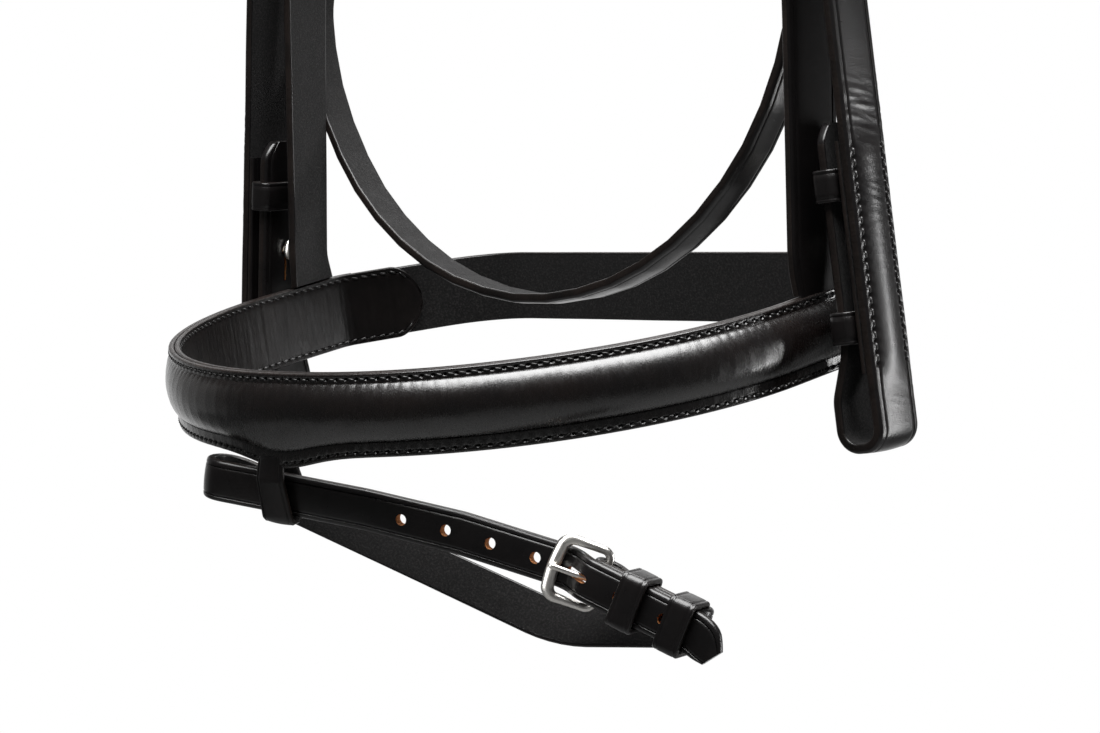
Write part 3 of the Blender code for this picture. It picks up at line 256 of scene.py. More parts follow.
def node(nodes, kind, **settings):
    """A new node, each setting a socket's number or one of the node's own choices."""
    made = nodes.new(kind)
    for key, value in settings.items():
        if key in made.inputs:
            made.inputs[key].default_value = value
        else:
            setattr(made, key, value)
    return made


def mixed(nodes, links, share, first, second):
    """A colour between two, by a share that varies over the leather."""
    mix = node(nodes, "ShaderNodeMix", data_type="RGBA")
    links.new(share, mix.inputs[0])
    mix.inputs[6].default_value = (*first, 1)
    mix.inputs[7].default_value = (*second, 1)
    return mix.outputs[2]


def ranged(nodes, links, value, low, high, start=0.3, stop=0.7):
    """A value that runs from low to high while the one it follows runs from start to stop."""
    spread = node(nodes, "ShaderNodeMapRange")
    links.new(value, spread.inputs[0])
    for socket, number in zip(spread.inputs[1:5], (start, stop, low, high)):
        socket.default_value = number
    return spread.outputs[0]


def cloudy(nodes, links, place, scale, detail, rough, **more):
    """A cloudy pattern, each cloud about one part in scale of a metre."""
    made = node(nodes, "ShaderNodeTexNoise", Scale=scale, Detail=detail, Roughness=rough, **more)
    links.new(place, made.inputs["Vector"])
    return made.outputs[0]


def bumped(nodes, links, height, strength, distance, under=None):
    """A surface raised and sunk by a pattern, over another such surface if there is one."""
    bump = node(nodes, "ShaderNodeBump", Strength=strength, Distance=distance)
    links.new(height, bump.inputs["Height"])
    if under:
        links.new(under, bump.inputs["Normal"])
    return bump.outputs[0]


def grain_finish(name, dark, worn, dull, pores=0.12, crinkle=0.14, coat=0.0, shine=0.34):
    """Dyed grain leather: pores and fine crinkles, and a dye and a polish that are not quite even."""
    finish, nodes, links = new_finish(name)
    shader = nodes["Principled BSDF"]
    place = node(nodes, "ShaderNodeAttribute", attribute_name="flat").outputs["Vector"]
    drawn = node(nodes, "ShaderNodeVectorMath", operation="MULTIPLY")
    drawn.inputs[1].default_value = (2.0, 0.7, 1.0)
    links.new(place, drawn.inputs[0])
    cell = node(nodes, "ShaderNodeTexVoronoi", Scale=1500.0, feature="DISTANCE_TO_EDGE")
    links.new(place, cell.inputs["Vector"])
    cloud = cloudy(nodes, links, place, 70.0, 4.0, 0.6)
    fine = cloudy(nodes, links, drawn.outputs[0], 420.0, 5.0, 0.65, Distortion=0.4)
    links.new(mixed(nodes, links, ranged(nodes, links, cloud, 0.0, 1.0), dark, worn), shader.inputs["Base Color"])
    links.new(ranged(nodes, links, fine, dull - 0.03, dull + 0.05), shader.inputs["Roughness"])
    skin = bumped(nodes, links, ranged(nodes, links, cell.outputs[0], 0.0, 1.0, 0.0, 0.18), pores, 0.10 * MM)
    links.new(bumped(nodes, links, fine, crinkle, 0.25 * MM, skin), shader.inputs["Normal"])
    shader.inputs["Specular IOR Level"].default_value = shine
    shader.inputs["Coat Weight"].default_value = coat
    shader.inputs["Coat Roughness"].default_value = 0.22
    return finish


def fuzzy_finish(name, dark, pale, speck=0.62, sheen=0.25):
    """The flesh side of a strap: a short matt nap with paler fibres in it."""
    finish, nodes, links = new_finish(name)
    shader = nodes["Principled BSDF"]
    place = node(nodes, "ShaderNodeAttribute", attribute_name="flat").outputs["Vector"]
    nap = cloudy(nodes, links, place, 1300.0, 6.0, 0.75)
    tuft = cloudy(nodes, links, place, 260.0, 3.0, 0.6)
    links.new(mixed(nodes, links, ranged(nodes, links, nap, 0.0, 1.0, 0.48, speck), dark, pale),
              shader.inputs["Base Color"])
    links.new(ranged(nodes, links, tuft, 0.78, 0.95), shader.inputs["Roughness"])
    links.new(bumped(nodes, links, nap, 0.7, 0.25 * MM), shader.inputs["Normal"])
    shader.inputs["Specular IOR Level"].default_value = 0.2
    shader.inputs["Sheen Weight"].default_value = sheen
    shader.inputs["Sheen Roughness"].default_value = 0.6
    return finish


CALF = grain_finish("calf", (0.0028, 0.0020, 0.0020), (0.0064, 0.0038, 0.0032), 0.26, pores=0.14,
                    crinkle=0.12, coat=0.5, shine=0.85)
LINING = grain_finish("lining_calf", (0.0045, 0.0038, 0.0038), (0.010, 0.008, 0.0075), 0.38, crinkle=0.6,
                      shine=0.22)
BURNISHED = grain_finish("burnished_edge", (0.0050, 0.0040, 0.0038), (0.020, 0.014, 0.012), 0.34, pores=0.1,
                         crinkle=0.8)
THREAD = grain_finish("waxed_thread", (0.0040, 0.0036, 0.0036), (0.016, 0.015, 0.015), 0.30, pores=0.0, crinkle=0.2,
                      shine=0.8)


def facing(way, rows):
    """A strap's corners in mm, with the radius of each bend, and one way across for them all."""
    return [(*row, *way) for row in rows]


RING_WAY = (0.0, -0.194, 0.981)
nose_table = facing(RING_WAY, [
    (108.63, 43.41, -412.99, 0.0),
    (111.50, 39.39, -413.78, 14.0),
    (111.50, -100.40, -441.46, 105.5),
    (-111.50, -100.40, -441.46, 110.0),
    (-111.50, 39.39, -413.78, 14.0),
    (-94.87, 62.70, -409.17, 0.0),
])
nose_line = Line(nose_table)
NOSE_HALF = 12.75 * MM
NOSE_LAP = 24.0 * MM
nose_end = nose_line.length - NOSE_LAP
loop_place = 220.5 * MM
SEAM = 11.0 * MM
STITCH = 3.45 * MM
STITCH_START = 3 * MM
PAD_TOP, PAD_FOOT = 9.7 * MM, -7.9 * MM
PAD_RISE = 4.0 * MM
TIGHT_BEND = 314 * MM
TIGHT_REACH = 38 * MM
TIGHT_SHARE = 0.55
PAD_FADE = 22.0 * MM
PAD_CUTS = 24
PAD_UNEVEN, PAD_WAVE = 0.03, 0.09 * MM
PUCKER, PUCKER_RUN = 0.12 * MM, 2.5 * MM
CALF_THICK = 1.8 * MM
BEHIND = 0.15 * MM
HOLE_REACH = 0.6 * MM
HOLE_DEEP = 0.85 * MM
DIP = 4.0 * MM
DIP_REACH = 17 * MM
DIP_OFF = 5 * MM
CUTS_A_STITCH = 7


def ease(share):
    """A share from 0 to 1 that starts and ends gently."""
    share = max(0.0, min(1.0, share))
    return share * share * (3 - 2 * share)


def sagging(p):
    """The lower edge of the band, pulled down where the flash loop hangs from it."""
    pull = DIP * math.exp(-((p[0] - loop_place + DIP_OFF) / DIP_REACH) ** 2)
    return Vector((p[0], p[1] - pull * ease((-p[1] - 2 * MM) / (8 * MM)), p[2]))


def pit(along, start=STITCH_START):
    """How deep the leather is drawn in at this place by the nearest stitch hole, from 0 to 1."""
    away = ((along - start) / STITCH + 0.5) % 1 - 0.5
    return math.exp(-(away * STITCH / HOLE_REACH) ** 2)


def nose_section(along):
    """The wrapped calf at one place: lip, stitch holes, crease, and the swell over the core."""
    full = ease(min(along, nose_end - along) / PAD_FADE)
    top = BEHIND + CALF_THICK
    deep = pit(along)
    flattened = TIGHT_SHARE * math.exp(-((along - TIGHT_BEND) / TIGHT_REACH) ** 2)
    puff = PAD_RISE * full * (1 - flattened + PAD_UNEVEN * noise.noise(Vector((along * 45, 0.3, 0))))
    lip = [(NOSE_HALF - 0.3 * MM, BEHIND), (NOSE_HALF, 0.55 * MM), (NOSE_HALF - 0.08 * MM, 1.35 * MM),
           (NOSE_HALF - 0.3 * MM, 1.78 * MM), (NOSE_HALF - 0.65 * MM, top),
           (SEAM + 0.75 * MM, top - 0.02 * MM), (SEAM + 0.4 * MM, top - (0.10 + 0.35 * deep) * MM),
           (SEAM, top - 0.22 * MM - HOLE_DEEP * deep), (SEAM - 0.4 * MM, top - (0.10 + 0.35 * deep) * MM),
           (SEAM - 0.75 * MM, top - 0.02 * MM)]
    crease = [(PAD_FOOT - 0.10 * MM, top - 0.30 * MM), (PAD_FOOT - 0.35 * MM, top)]
    middle, half = (PAD_TOP + PAD_FOOT) / 2, (PAD_TOP - PAD_FOOT) / 2
    swell = []
    for k in range(PAD_CUTS + 1):
        share = math.cos(math.pi * k / PAD_CUTS)
        across = middle + half * share
        pucker = PUCKER * (deep - 0.3) * full * ease(1 - (PAD_TOP - across) / PUCKER_RUN)
        wave = PAD_WAVE * noise.noise(Vector((along * 150, across * 300, 2.0))) * full
        swell.append((across, top + puff * (1 - abs(share) ** 2.1) ** 0.8 + wave - pucker))
    back = [(-NOSE_HALF / 2, BEHIND), (0.0, BEHIND), (NOSE_HALF / 2, BEHIND)]
    return lip + swell + crease + [(-a, o) for a, o in reversed(lip)] + back


POCKET_EDGE, POCKET_FAR = 7.85 * MM, 17 * MM
POCKET_FLOOR, POCKET_DEEP = -4 * MM, 1.35 * MM
near_strap_place, far_strap_place = 24.17 * MM, 406.5 * MM
HEAD_POCKET, LOOP_POCKET = 10.4 * MM, 5.65 * MM


def pocket(along, half, top):
    """The space behind the flange for the thinned end of a strap."""
    low, high = (POCKET_EDGE, POCKET_FAR) if top else (-POCKET_FAR, -POCKET_EDGE)
    outline = [(along - half, low), (along + half, low), (along + half, high), (along - half, high)]
    return outline, POCKET_FLOOR, POCKET_DEEP


nose_cuts = nose_line.cuts(0.0, nose_end, STITCH / CUTS_A_STITCH)
nose_pockets = [pocket(near_strap_place, HEAD_POCKET, True), pocket(far_strap_place, HEAD_POCKET, True),
                pocket(loop_place, LOOP_POCKET, False)]
noseband = bend_piece("noseband", loft(nose_cuts, nose_section), nose_line, [CALF, BURNISHED],
                      lambda p: 1 if abs(p.y) > NOSE_HALF - 0.3 * MM or p.z < BEHIND * 2 else 0,
                      pockets=nose_pockets, shift=sagging)
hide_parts("noseband_face", "noseband_core")
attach(noseband, "bridle")


LINING_THICK = 1.6 * MM
LINING_ROUND = 11 * MM
EDGE_ROOM = 1.75 * MM
LINING_CUTS = 7
LINING_WRINKLE = 0.16 * MM
FEWER_CUTS_A_STITCH = 6


def lining_half(along):
    """Half the height of the lining, which ends in a round."""
    from_end = max(0.0, nose_line.length - along)
    return NOSE_HALF * math.sin(math.pi / 2 * min(1.0, (from_end + 0.6 * MM) / LINING_ROUND)) ** 0.6


def lining_row(along):
    """How far out the stitches run, drawn in round the end."""
    return min(SEAM, lining_half(along) - EDGE_ROOM)


def lining_section(along):
    """The lining, wrinkled across where the band bends most and cut to a round end."""
    half, low, deep = lining_half(along), -BEHIND - LINING_THICK, pit(along)
    row = max(0.3 * half, lining_row(along))
    side = [(half - 0.3 * MM, -BEHIND), (half, -BEHIND - 0.4 * MM), (half, low + 0.5 * MM),
            (half - 0.35 * MM, low), (row + 0.4 * MM, low + 0.04 * MM), (row, low + (0.12 + 0.5 * deep) * MM),
            (row - 0.4 * MM, low + 0.04 * MM)]
    face = []
    for k in range(1, 2 * LINING_CUTS):
        share = 1 - k / LINING_CUTS
        across = (row - 0.8 * MM) * share
        wrinkle = noise.noise(Vector((along * 520, across * 45, 7.0)))
        wrinkle += noise.noise(Vector((along * 90, across * 30, 2.0)))
        face.append((across, low + LINING_WRINKLE * wrinkle * (1 - abs(share) ** 4)))
    return side + face + [(-a, o) for a, o in reversed(side)] + [(0.0, -BEHIND)]


lining_cuts = nose_line.cuts(0.0, nose_line.length, STITCH / FEWER_CUTS_A_STITCH)
lining = bend_piece("noseband_liner", loft(lining_cuts, lining_section), nose_line, [LINING, BURNISHED],
                    lambda p: 1 if abs(p.y) > NOSE_HALF - 0.25 * MM else 0, shift=sagging)
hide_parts("noseband_lining")
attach(lining, "bridle")


THREAD_THICK = 0.40 * MM
THREAD_SIDES, THREAD_CUTS = 6, 7
THREAD_REACH = 0.41
SLANT = 0.30 * MM
THREAD_STAND, THREAD_TAPER = 0.12 * MM, 0.35
THREAD_LOW, THREAD_DIVE = 0.05 * MM, 0.95 * MM


def sew(name, rows, body, shift=None):
    """Saddle stitches: short slanting thread, each end going down into its hole.
    A row is its line, across and out places, start and end, and which way out it faces."""
    points, faces = [], []
    for line, across, out, start, end, face in rows:
        for i in range(int((end - start) / STITCH)):
            middle = start + STITCH * (i + 0.5)
            base = len(points)
            for k in range(THREAD_CUTS):
                run = 2 * k / (THREAD_CUTS - 1) - 1
                there = middle + run * STITCH * THREAD_REACH
                aside = across(there) if callable(across) else across
                slant = math.copysign(SLANT, aside) * face
                sink = THREAD_LOW + THREAD_DIVE * abs(run) ** 4
                girth = THREAD_THICK * (1 - THREAD_TAPER * abs(run) ** 3)
                for side in range(THREAD_SIDES):
                    angle = 2 * math.pi / THREAD_SIDES * side
                    p = Vector((there, aside + slant * run + girth * math.cos(angle),
                                out + face * (girth * math.sin(angle) + THREAD_STAND - sink)))
                    points.append(line.place(*(shift(p) if shift else p)))
            for k in range(THREAD_CUTS - 1):
                faces += between(base + k * THREAD_SIDES, base + (k + 1) * THREAD_SIDES, THREAD_SIDES)
            faces += [tuple(range(base, base + THREAD_SIDES)), tuple(range(len(points) - THREAD_SIDES, len(points)))]
    mesh = skin_mesh(name, points, faces)
    face_out(mesh)
    mesh.shade_smooth()
    keep_flat(mesh, points)
    mesh.materials.append(THREAD)
    piece = link(name, mesh)
    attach(piece, body)


seam_top = BEHIND + CALF_THICK - 0.18 * MM
seam_under = -BEHIND - LINING_THICK
nose_rows = []
for across in (SEAM, -SEAM):
    nose_rows.append((nose_line, across, seam_top, STITCH_START, nose_end - STITCH_START, 1))
    under = lining_row if across > 0 else lambda along: -lining_row(along)
    nose_rows.append((nose_line, under, seam_under, STITCH_START, nose_line.length - 1 * MM, -1))
sew("noseband_stitching", nose_rows, "bridle", shift=sagging)

# ---------------------------------------------------------------------------
# Straps of the nose: the chin strap and its chape, cut from bridle leather
# with a creased and burnished edge, and sewn under the ends of the noseband.

BLACK = grain_finish("bridle_leather", (0.0040, 0.0036, 0.0038), (0.0090, 0.0074, 0.0074), 0.30, coat=0.3, shine=0.5)
FLESH = fuzzy_finish("flesh_side", (0.0030, 0.0028, 0.0029), (0.022, 0.020, 0.020), sheen=0.08)
EDGE = grain_finish("cut_edge", (0.0045, 0.0038, 0.0036), (0.018, 0.013, 0.011), 0.38, pores=0.1, crinkle=0.9)
# A darker, less glossy copy of the bridle leather: painted shade, for where the near cheekpiece shades the short
# head strap behind it.
SHADED_LEATHER = grain_finish("dull_leather", (0.0030, 0.0026, 0.0027), (0.006, 0.005, 0.005), 0.5, shine=0.10)
RAW = fuzzy_finish("raw_hole", (0.33, 0.13, 0.045), (0.62, 0.30, 0.12), speck=0.75, sheen=0.0)
TIP = 7 * MM
TIP_SHARE = 0.55
TIP_CUTS = 8
STRAP_CUT = 2.5 * MM
FULL_THICK = 2.6 * MM
CREASE_HALF = 0.32 * MM
PARED = 0.9 * MM
PARED_RUN = 4.8 * MM
HOLE, USED_HOLE = 1.75 * MM, 1.55 * MM
HOLE_SIDES = 20
SLOT_HALF = 1.6 * MM
CROWN, LINED_RISE = 0.25 * MM, 0.9 * MM
LINED_BEFORE, LINED_FADE = 8 * MM, 12 * MM
ROW_DEEP, ROW_REACH = 0.75 * MM, 0.5 * MM
WAVE_FADE = 30 * MM
FINE_BEFORE, FINE_AFTER = 40 * MM, 25 * MM
PARED_STEP, CUTS_APART = 0.15 * MM, 0.05 * MM
TIP_CLEAR = 0.5 * MM


def strap_section(half, low, high, crease, crown):
    """A strap cut across: creased and rounded on the grain side, fuller in the middle, square below."""
    fit = min(1.0, (high - low) / FULL_THICK)
    side = [(half - 0.6 * MM, low), (half - 0.2 * MM, low + 0.15 * MM * fit), (half, low + 0.6 * MM * fit),
            (half, high - 1.25 * MM * fit), (half - 0.1 * MM, high - 0.85 * MM * fit),
            (half - 0.32 * MM, high - 0.45 * MM * fit), (half - 0.65 * MM, high - 0.18 * MM * fit),
            (half - 1.1 * MM, high - 0.04 * MM), (half - crease + CREASE_HALF, high + 0.03 * MM),
            (half - crease, high - 0.36 * MM), (half - crease - CREASE_HALF, high + 0.05 * MM)]
    inner = half - crease - CREASE_HALF
    middle = [(inner * share, high + 0.05 * MM + crown * (1 - share * share))
              for share in (0.85, 0.65, 0.45, 0.25, 0.08)]
    right = side + middle
    return right + [(-a, o) for a, o in reversed(right)] + [(-half * 0.4, low), (half * 0.4, low)]


def strap_side(half, low, high):
    """Which finish a face takes: 0 the grain side, 1 the cut edges, 2 the flesh side."""
    def side_of(p):
        if p.z < low + 0.06 * MM:
            return 2
        return 1 if abs(p.y) > half - 0.16 * MM and p.z < high - 0.3 * MM else 0
    return side_of


def round_hole(along, radius=HOLE, pull=0.0):
    """A punched hole, drawn out along the strap where a tongue has pulled it."""
    ring = []
    for k in range(HOLE_SIDES):
        angle = 2 * math.pi * (k + 0.5) / HOLE_SIDES
        ring.append((along + radius * math.cos(angle) + math.copysign(pull, math.cos(angle)),
                     radius * math.sin(angle)))
    return ring


def slot_hole(start, end, half=SLOT_HALF):
    return [(start, -half), (end, -half), (end, half), (start, half)]


def hole_row(used, pull, others, radius=USED_HOLE):
    """The row of holes in mm from the strap's start, the first being the one that the tongue is in."""
    return [round_hole(used * MM, radius, pull)] + [round_hole(x * MM) for x in others]


FOLD_SLOT = slot_hole(29.1 * MM, 45.1 * MM)


def lay_strap(name, node_name, table, width, thick, body="bridle", holes=(), low=0.0, tip_end=False,
              tip_start=False, face=BLACK, hole_edge=EDGE, wave=0.15 * MM, thin=None, slot="black_leather",
              crease=2.3 * MM, start=0.0, end=None, lined=None, wrinkles=()):
    """One strap along its line, its point or points drawn in, and slightly wavy with use.
    Over its lined stretch it is fuller and drawn in at the stitch holes. Wrinkles lie across it."""
    line = Line(table)
    end = line.length if end is None else end
    seed = Vector((0, 0, (len(name) * 7 + ord(name[-1])) % 40))
    row = width / 2 - crease

    def fullness(along):
        if lined is None:
            return 0.0
        return (ease((along - lined[0] + LINED_BEFORE) / LINED_FADE)
                * ease((lined[1] + LINED_BEFORE - along) / LINED_FADE))

    def section(along):
        from_tip = min([TIP] + [end - along] * tip_end + [along - start] * tip_start)
        share = TIP_SHARE + (1 - TIP_SHARE) * math.sin(math.pi / 2 * max(0.0, from_tip) / TIP)
        base, top = (low, low + thick) if thin is None else thin(along, line.length)
        return strap_section(width / 2 * share, base, top, crease * share, CROWN + LINED_RISE * fullness(along))

    def worn(p):
        fade = ease(min(p.x - start, end - p.x) / WAVE_FADE)
        lift = noise.noise(Vector((p.x * 38, p.y * 30, 0)) + seed) * wave * fade
        if p.z > low + thick / 2:
            for middle, reach, depth in wrinkles:
                near = math.exp(-((p.x - middle) / reach) ** 2)
                fold = noise.noise(Vector((p.x * 420 + p.y * 90, p.y * 55, 3)) + seed)
                lift += depth * near * (abs(fold) ** 0.7 - 0.5)
            if lined and lined[0] < p.x < lined[1]:
                lift -= ROW_DEEP * pit(p.x, lined[0]) * math.exp(-((abs(p.y) - row) / ROW_REACH) ** 2)
        return Vector((p.x, p.y, p.z + lift))

    cuts = line.cuts(start, end, STRAP_CUT)
    if lined:
        first, last = lined[0] - FINE_BEFORE, lined[1] + FINE_AFTER
        cuts = (line.cuts(start, first, STRAP_CUT)[:-1] + line.cuts(first, last, STITCH / FEWER_CUTS_A_STITCH)
                + line.cuts(last, end, STRAP_CUT)[1:])
    tip = [TIP * k / TIP_CUTS for k in range(TIP_CUTS + 1)]
    if tip_end:
        cuts = [c for c in cuts if c < end - TIP - TIP_CLEAR] + [end - away for away in tip[::-1]]
    if tip_start:
        cuts = [start + away for away in tip] + [c for c in cuts if c > start + TIP + TIP_CLEAR]
    if thin is not None:
        for step in (PARED_RUN - PARED_STEP, PARED_RUN + PARED_STEP):
            cuts += [step, line.length - step]
        cuts.sort()
        cuts = [c for i, c in enumerate(cuts) if i == 0 or c - cuts[i - 1] > CUTS_APART]
    side_of = strap_side(width / 2, low, low + thick)
    piece = bend_piece(name, loft(cuts, section), line, [face, EDGE, FLESH, hole_edge], side_of,
                       holes=holes, shift=worn)
    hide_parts(node_name)
    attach(piece, body)


CHIN_WIDTH = 24 * MM
CHIN_THICK = 2.6 * MM
chape_table = facing(RING_WAY, [
    (107.28, 44.79, -412.72, 0.0),
    (96.38, 60.06, -409.69, 3.6),
    (91.51, 62.10, -409.29, 3.6),
    (89.19, 65.36, -408.64, 1.55),
    (91.73, 67.10, -408.30, 1.55),
    (108.46, 43.65, -412.94, 0.0),
])
chin_table = facing(RING_WAY, [
    (-108.46, 43.65, -412.94, 0.0),
    (-80.00, 83.53, -405.04, 34.0),
    (80.00, 83.53, -405.04, 14.0),
    (87.99, 72.33, -407.26, 6.0),
    (93.50, 69.57, -407.81, 6.0),
    (111.62, 44.18, -412.84, 0.0),
])
lay_strap("chin_chape_leather", "chin_chape", chape_table, CHIN_WIDTH, CHIN_THICK,
          holes=[slot_hole(21.43 * MM, 36.8 * MM)], low=BEHIND, wave=0.0)
lay_strap("chin_strap_leather", "chin_strap", chin_table, CHIN_WIDTH, CHIN_THICK,
          holes=hole_row(222.1, 3.4 * MM, (192.1, 207.1, 237.1)), low=BEHIND, tip_end=True,
          slot="flesh_leather", wave=0.35 * MM)

# ---------------------------------------------------------------------------
# Head strap of the noseband: a long strap from the far side over the poll and
# a short one with the buckle, each pared thin where it goes behind the flange.

FORWARD = (0, -1, 0)
HEAD_WAY = (0, -0.999, -0.054)
short_table = [
    (106.42, 16.48, -305.89, 0, *HEAD_WAY),
    (104.60, 15.03, -278.99, 3.6, *HEAD_WAY),
    (101.50, 14.80, -274.70, 3.6, *HEAD_WAY),
    (101.23, 14.58, -270.66, 1.55, *HEAD_WAY),
    (104.32, 14.57, -270.46, 1.55, *HEAD_WAY),
    (107.00, 16.70, -310.04, 300, -0.208, -0.978, 0),
    (109.50, 16.08, -396.23, 30, -0.139, -0.990, 0),
    (109.50, 18.70, -409.47, 0, *FORWARD),
]
head_table = [
    (-109.50, 24.60, -408.30, 0, *FORWARD),
    (-109.50, 22.00, -395.10, 30, 0.174, -0.985, 0),
    (-107.00, 18.00, -310.04, 300, 0.087, -0.996, 0),
    (-86.00, 0.00, 0.00, 78, *FORWARD),
    (86.00, 0.00, 0.00, 78, *FORWARD),
    (103.75, 14.12, -262.12, 6, *HEAD_WAY),
    (107.70, 14.47, -268.58, 6, *HEAD_WAY),
    (110.75, 16.89, -313.61, 0, *HEAD_WAY),
]
HEAD_WIDTH = 20 * MM
HEAD_THICK = 3.2 * MM


def pared_end(along, length):
    """The leather left, from its low to its high side, where the strap's end is pared from behind."""
    return (HEAD_THICK - PARED if along > length - PARED_RUN else 0.0), HEAD_THICK


def pared_start(along, length):
    return (HEAD_THICK - PARED if along < PARED_RUN else 0.0), HEAD_THICK


# The short strap takes the darker copy of the bridle leather: painted shade standing in for the cheekpiece's shadow
# on it.
lay_strap("noseband_short_strap_leather", "noseband_short_strap", short_table, HEAD_WIDTH, HEAD_THICK,
          holes=[FOLD_SLOT], face=SHADED_LEATHER, thin=pared_end, wave=0.0)
lay_strap("noseband_head_strap_leather", "noseband_head_strap", head_table, HEAD_WIDTH, HEAD_THICK,
          holes=hole_row(791.8, 4.2 * MM, (746.8, 761.8, 776.8, 806.8, 821.8)), tip_end=True, thin=pared_start)

# ---------------------------------------------------------------------------
# Headpiece: one piece of thick leather over the poll, slit on each side into a
# wide lane for the cheek and a narrow one for the throatlash, both pointed.


def both_sides(rows):
    """One side's rows, then the same rows back down the other side."""
    return rows + [(-x, y, z, bend, -wx, wy, wz) for x, y, z, bend, wx, wy, wz in reversed(rows)]


cheek_lane_table = both_sides([
    (-119.59, 10.81, -260.31, 0, 0, -0.998, -0.068),
    (-114.66, 7.46, -211.47, 6, 0, -0.998, -0.068),
    (-110.50, 7.03, -205.15, 6, 0, -0.998, -0.068),
    (-108.89, 5.93, -189.19, 30, 0, -0.998, -0.068),
    (-98.98, -0.46, -138.00, 60, *FORWARD),
    (-89.50, -8.00, 3.50, 81.5, *FORWARD),
])
throat_lane_table = facing(FORWARD, [
    (-109.27, 38.00, -248.84, 0),
    (-107.90, 38.00, -212.27, 6),
    (-104.20, 38.00, -206.95, 6),
    (-103.64, 38.00, -192.02, 30),
    (-98.71, 18.32, -134.00, 60),
    (-89.50, 11.00, 3.50, 81.5),
    (89.50, 11.00, 3.50, 81.5),
    (98.71, 18.32, -134.00, 60),
    (105.78, 38.00, -192.04, 30),
    (104.95, 38.00, -206.95, 6),
    (108.14, 38.00, -212.60, 6),
    (106.11, 38.00, -249.14, 0),
])
crown_table = both_sides([
    (-110.50, 16.70, -310.00, 0, *FORWARD),
    (-89.50, 0.00, 3.50, 81.5, *FORWARD),
])
CHEEK_WIDTH, THROAT_WIDTH = 20 * MM, 14 * MM
LANE_THICK = 3.2 * MM
SPLIT = 75 * MM
CROWN_WIDTH = 36 * MM
lanes = (
    ("cheek", cheek_lane_table, CHEEK_WIDTH, 4.2 * MM, (53.5, 38.5, 68.5, 83.5), (600.0, 570.0, 585.0, 615.0)),
    ("throat", throat_lane_table, THROAT_WIDTH, 3.4 * MM, (40.2, 25.3, 55.2, 70.2), (593.1, 563.1, 578.1, 608.1)),
)
for name, table, width, pull, right_holes, left_holes in lanes:
    length = Line(table).length
    for side, (used, *others), ends in (("right", right_holes, {"tip_start": True, "end": length / 2 - SPLIT}),
                                        ("left", left_holes, {"tip_end": True, "start": length / 2 + SPLIT})):
        lay_strap(f"headpiece_{name}_lane_{side}", "headpiece", table, width, LANE_THICK,
                  holes=hole_row(used, pull, others), **ends)
middle = Line(crown_table).length / 2
lay_strap("headpiece_crown", "headpiece", crown_table, CROWN_WIDTH, LANE_THICK,
          start=middle - SPLIT, end=middle + SPLIT)

# ---------------------------------------------------------------------------
# Cheekpieces. Each is one strap turned up round the bit and hooked on a stud;
# the lower part is lined and stitched down both edges, so it stands a little
# fuller, and the turned-up billet has a slit above the hole for the stud.

TILTED = (0, -0.998, -0.068)
cheek_table = facing(TILTED, [
    (114.61, 10.02, -248.78, 0),
    (111.90, 8.18, -221.98, 3.6),
    (108.66, 7.90, -217.79, 3.6),
    (108.25, 7.62, -213.77, 1.55),
    (111.34, 7.60, -213.46, 1.55),
    (135.18, 23.78, -449.42, 4.3),
    (124.63, 23.85, -450.48, 4.3),
    (123.35, 22.98, -437.78, 9),
    (127.02, 22.00, -423.37, 18),
    (120.00, 17.23, -353.89, 0),
])
backing_table = facing(TILTED, [
    (133.09, 22.37, -428.78, 0),
    (126.07, 17.60, -359.29, 0),
])


def other_side(table):
    """The same line on the far side of the head."""
    return [(-x, y, z, bend, wx, -wy, -wz) for x, y, z, bend, wx, wy, wz in table]


CHEEK_THICK = 3.2 * MM
BACKING_THICK = 1.8 * MM
BACKING_GAP = 0.3 * MM
CHEEK_SEAM = 7.4 * MM
SEAM_END = 2 * MM
cheek_lines = {"left": (cheek_table, backing_table),
               "right": (other_side(cheek_table), other_side(backing_table))}
stud_hole = round_hole(342.2 * MM, 2.0 * MM)
stud_slit = slot_hole(331.2 * MM, 341.5 * MM, 0.45 * MM)
for side, (table, backing) in cheek_lines.items():
    line, under = Line(table), Line(backing)
    lined = (line.nearest(under.place(under.length, 0, 0)) + SEAM_END,
             line.nearest(under.place(0, 0, 0)) - SEAM_END)
    creased = [(lined[0] - 12 * MM, 9 * MM, 0.30 * MM), (lined[0] + 14 * MM, 16 * MM, 0.16 * MM),
               (lined[1] + 6 * MM, 7 * MM, 0.22 * MM)]
    lay_strap(f"cheekpiece_{side}_leather", f"cheekpiece_{side}", table, CHEEK_WIDTH, CHEEK_THICK,
              holes=[FOLD_SLOT, stud_slit, stud_hole], tip_end=True, wave=0.22 * MM, hole_edge=RAW,
              crease=2.6 * MM, lined=lined, wrinkles=creased)
    lay_strap(f"cheek_backing_{side}_leather", f"cheek_backing_{side}", backing, CHEEK_WIDTH, BACKING_THICK,
              low=BACKING_GAP, wave=0.0)
    rows = []
    for across in (CHEEK_SEAM, -CHEEK_SEAM):
        rows.append((line, across, CHEEK_THICK - 0.10 * MM, *lined, 1))
        rows.append((under, across, BACKING_GAP, SEAM_END, under.length - SEAM_END, -1))
    sew(f"cheek_{side}_stitching", rows, "bridle")

# ---------------------------------------------------------------------------
# Throatlash. A narrow strap hung from a buckle behind each cheek, round under
# the throat with its flesh side in, creased along both edges.

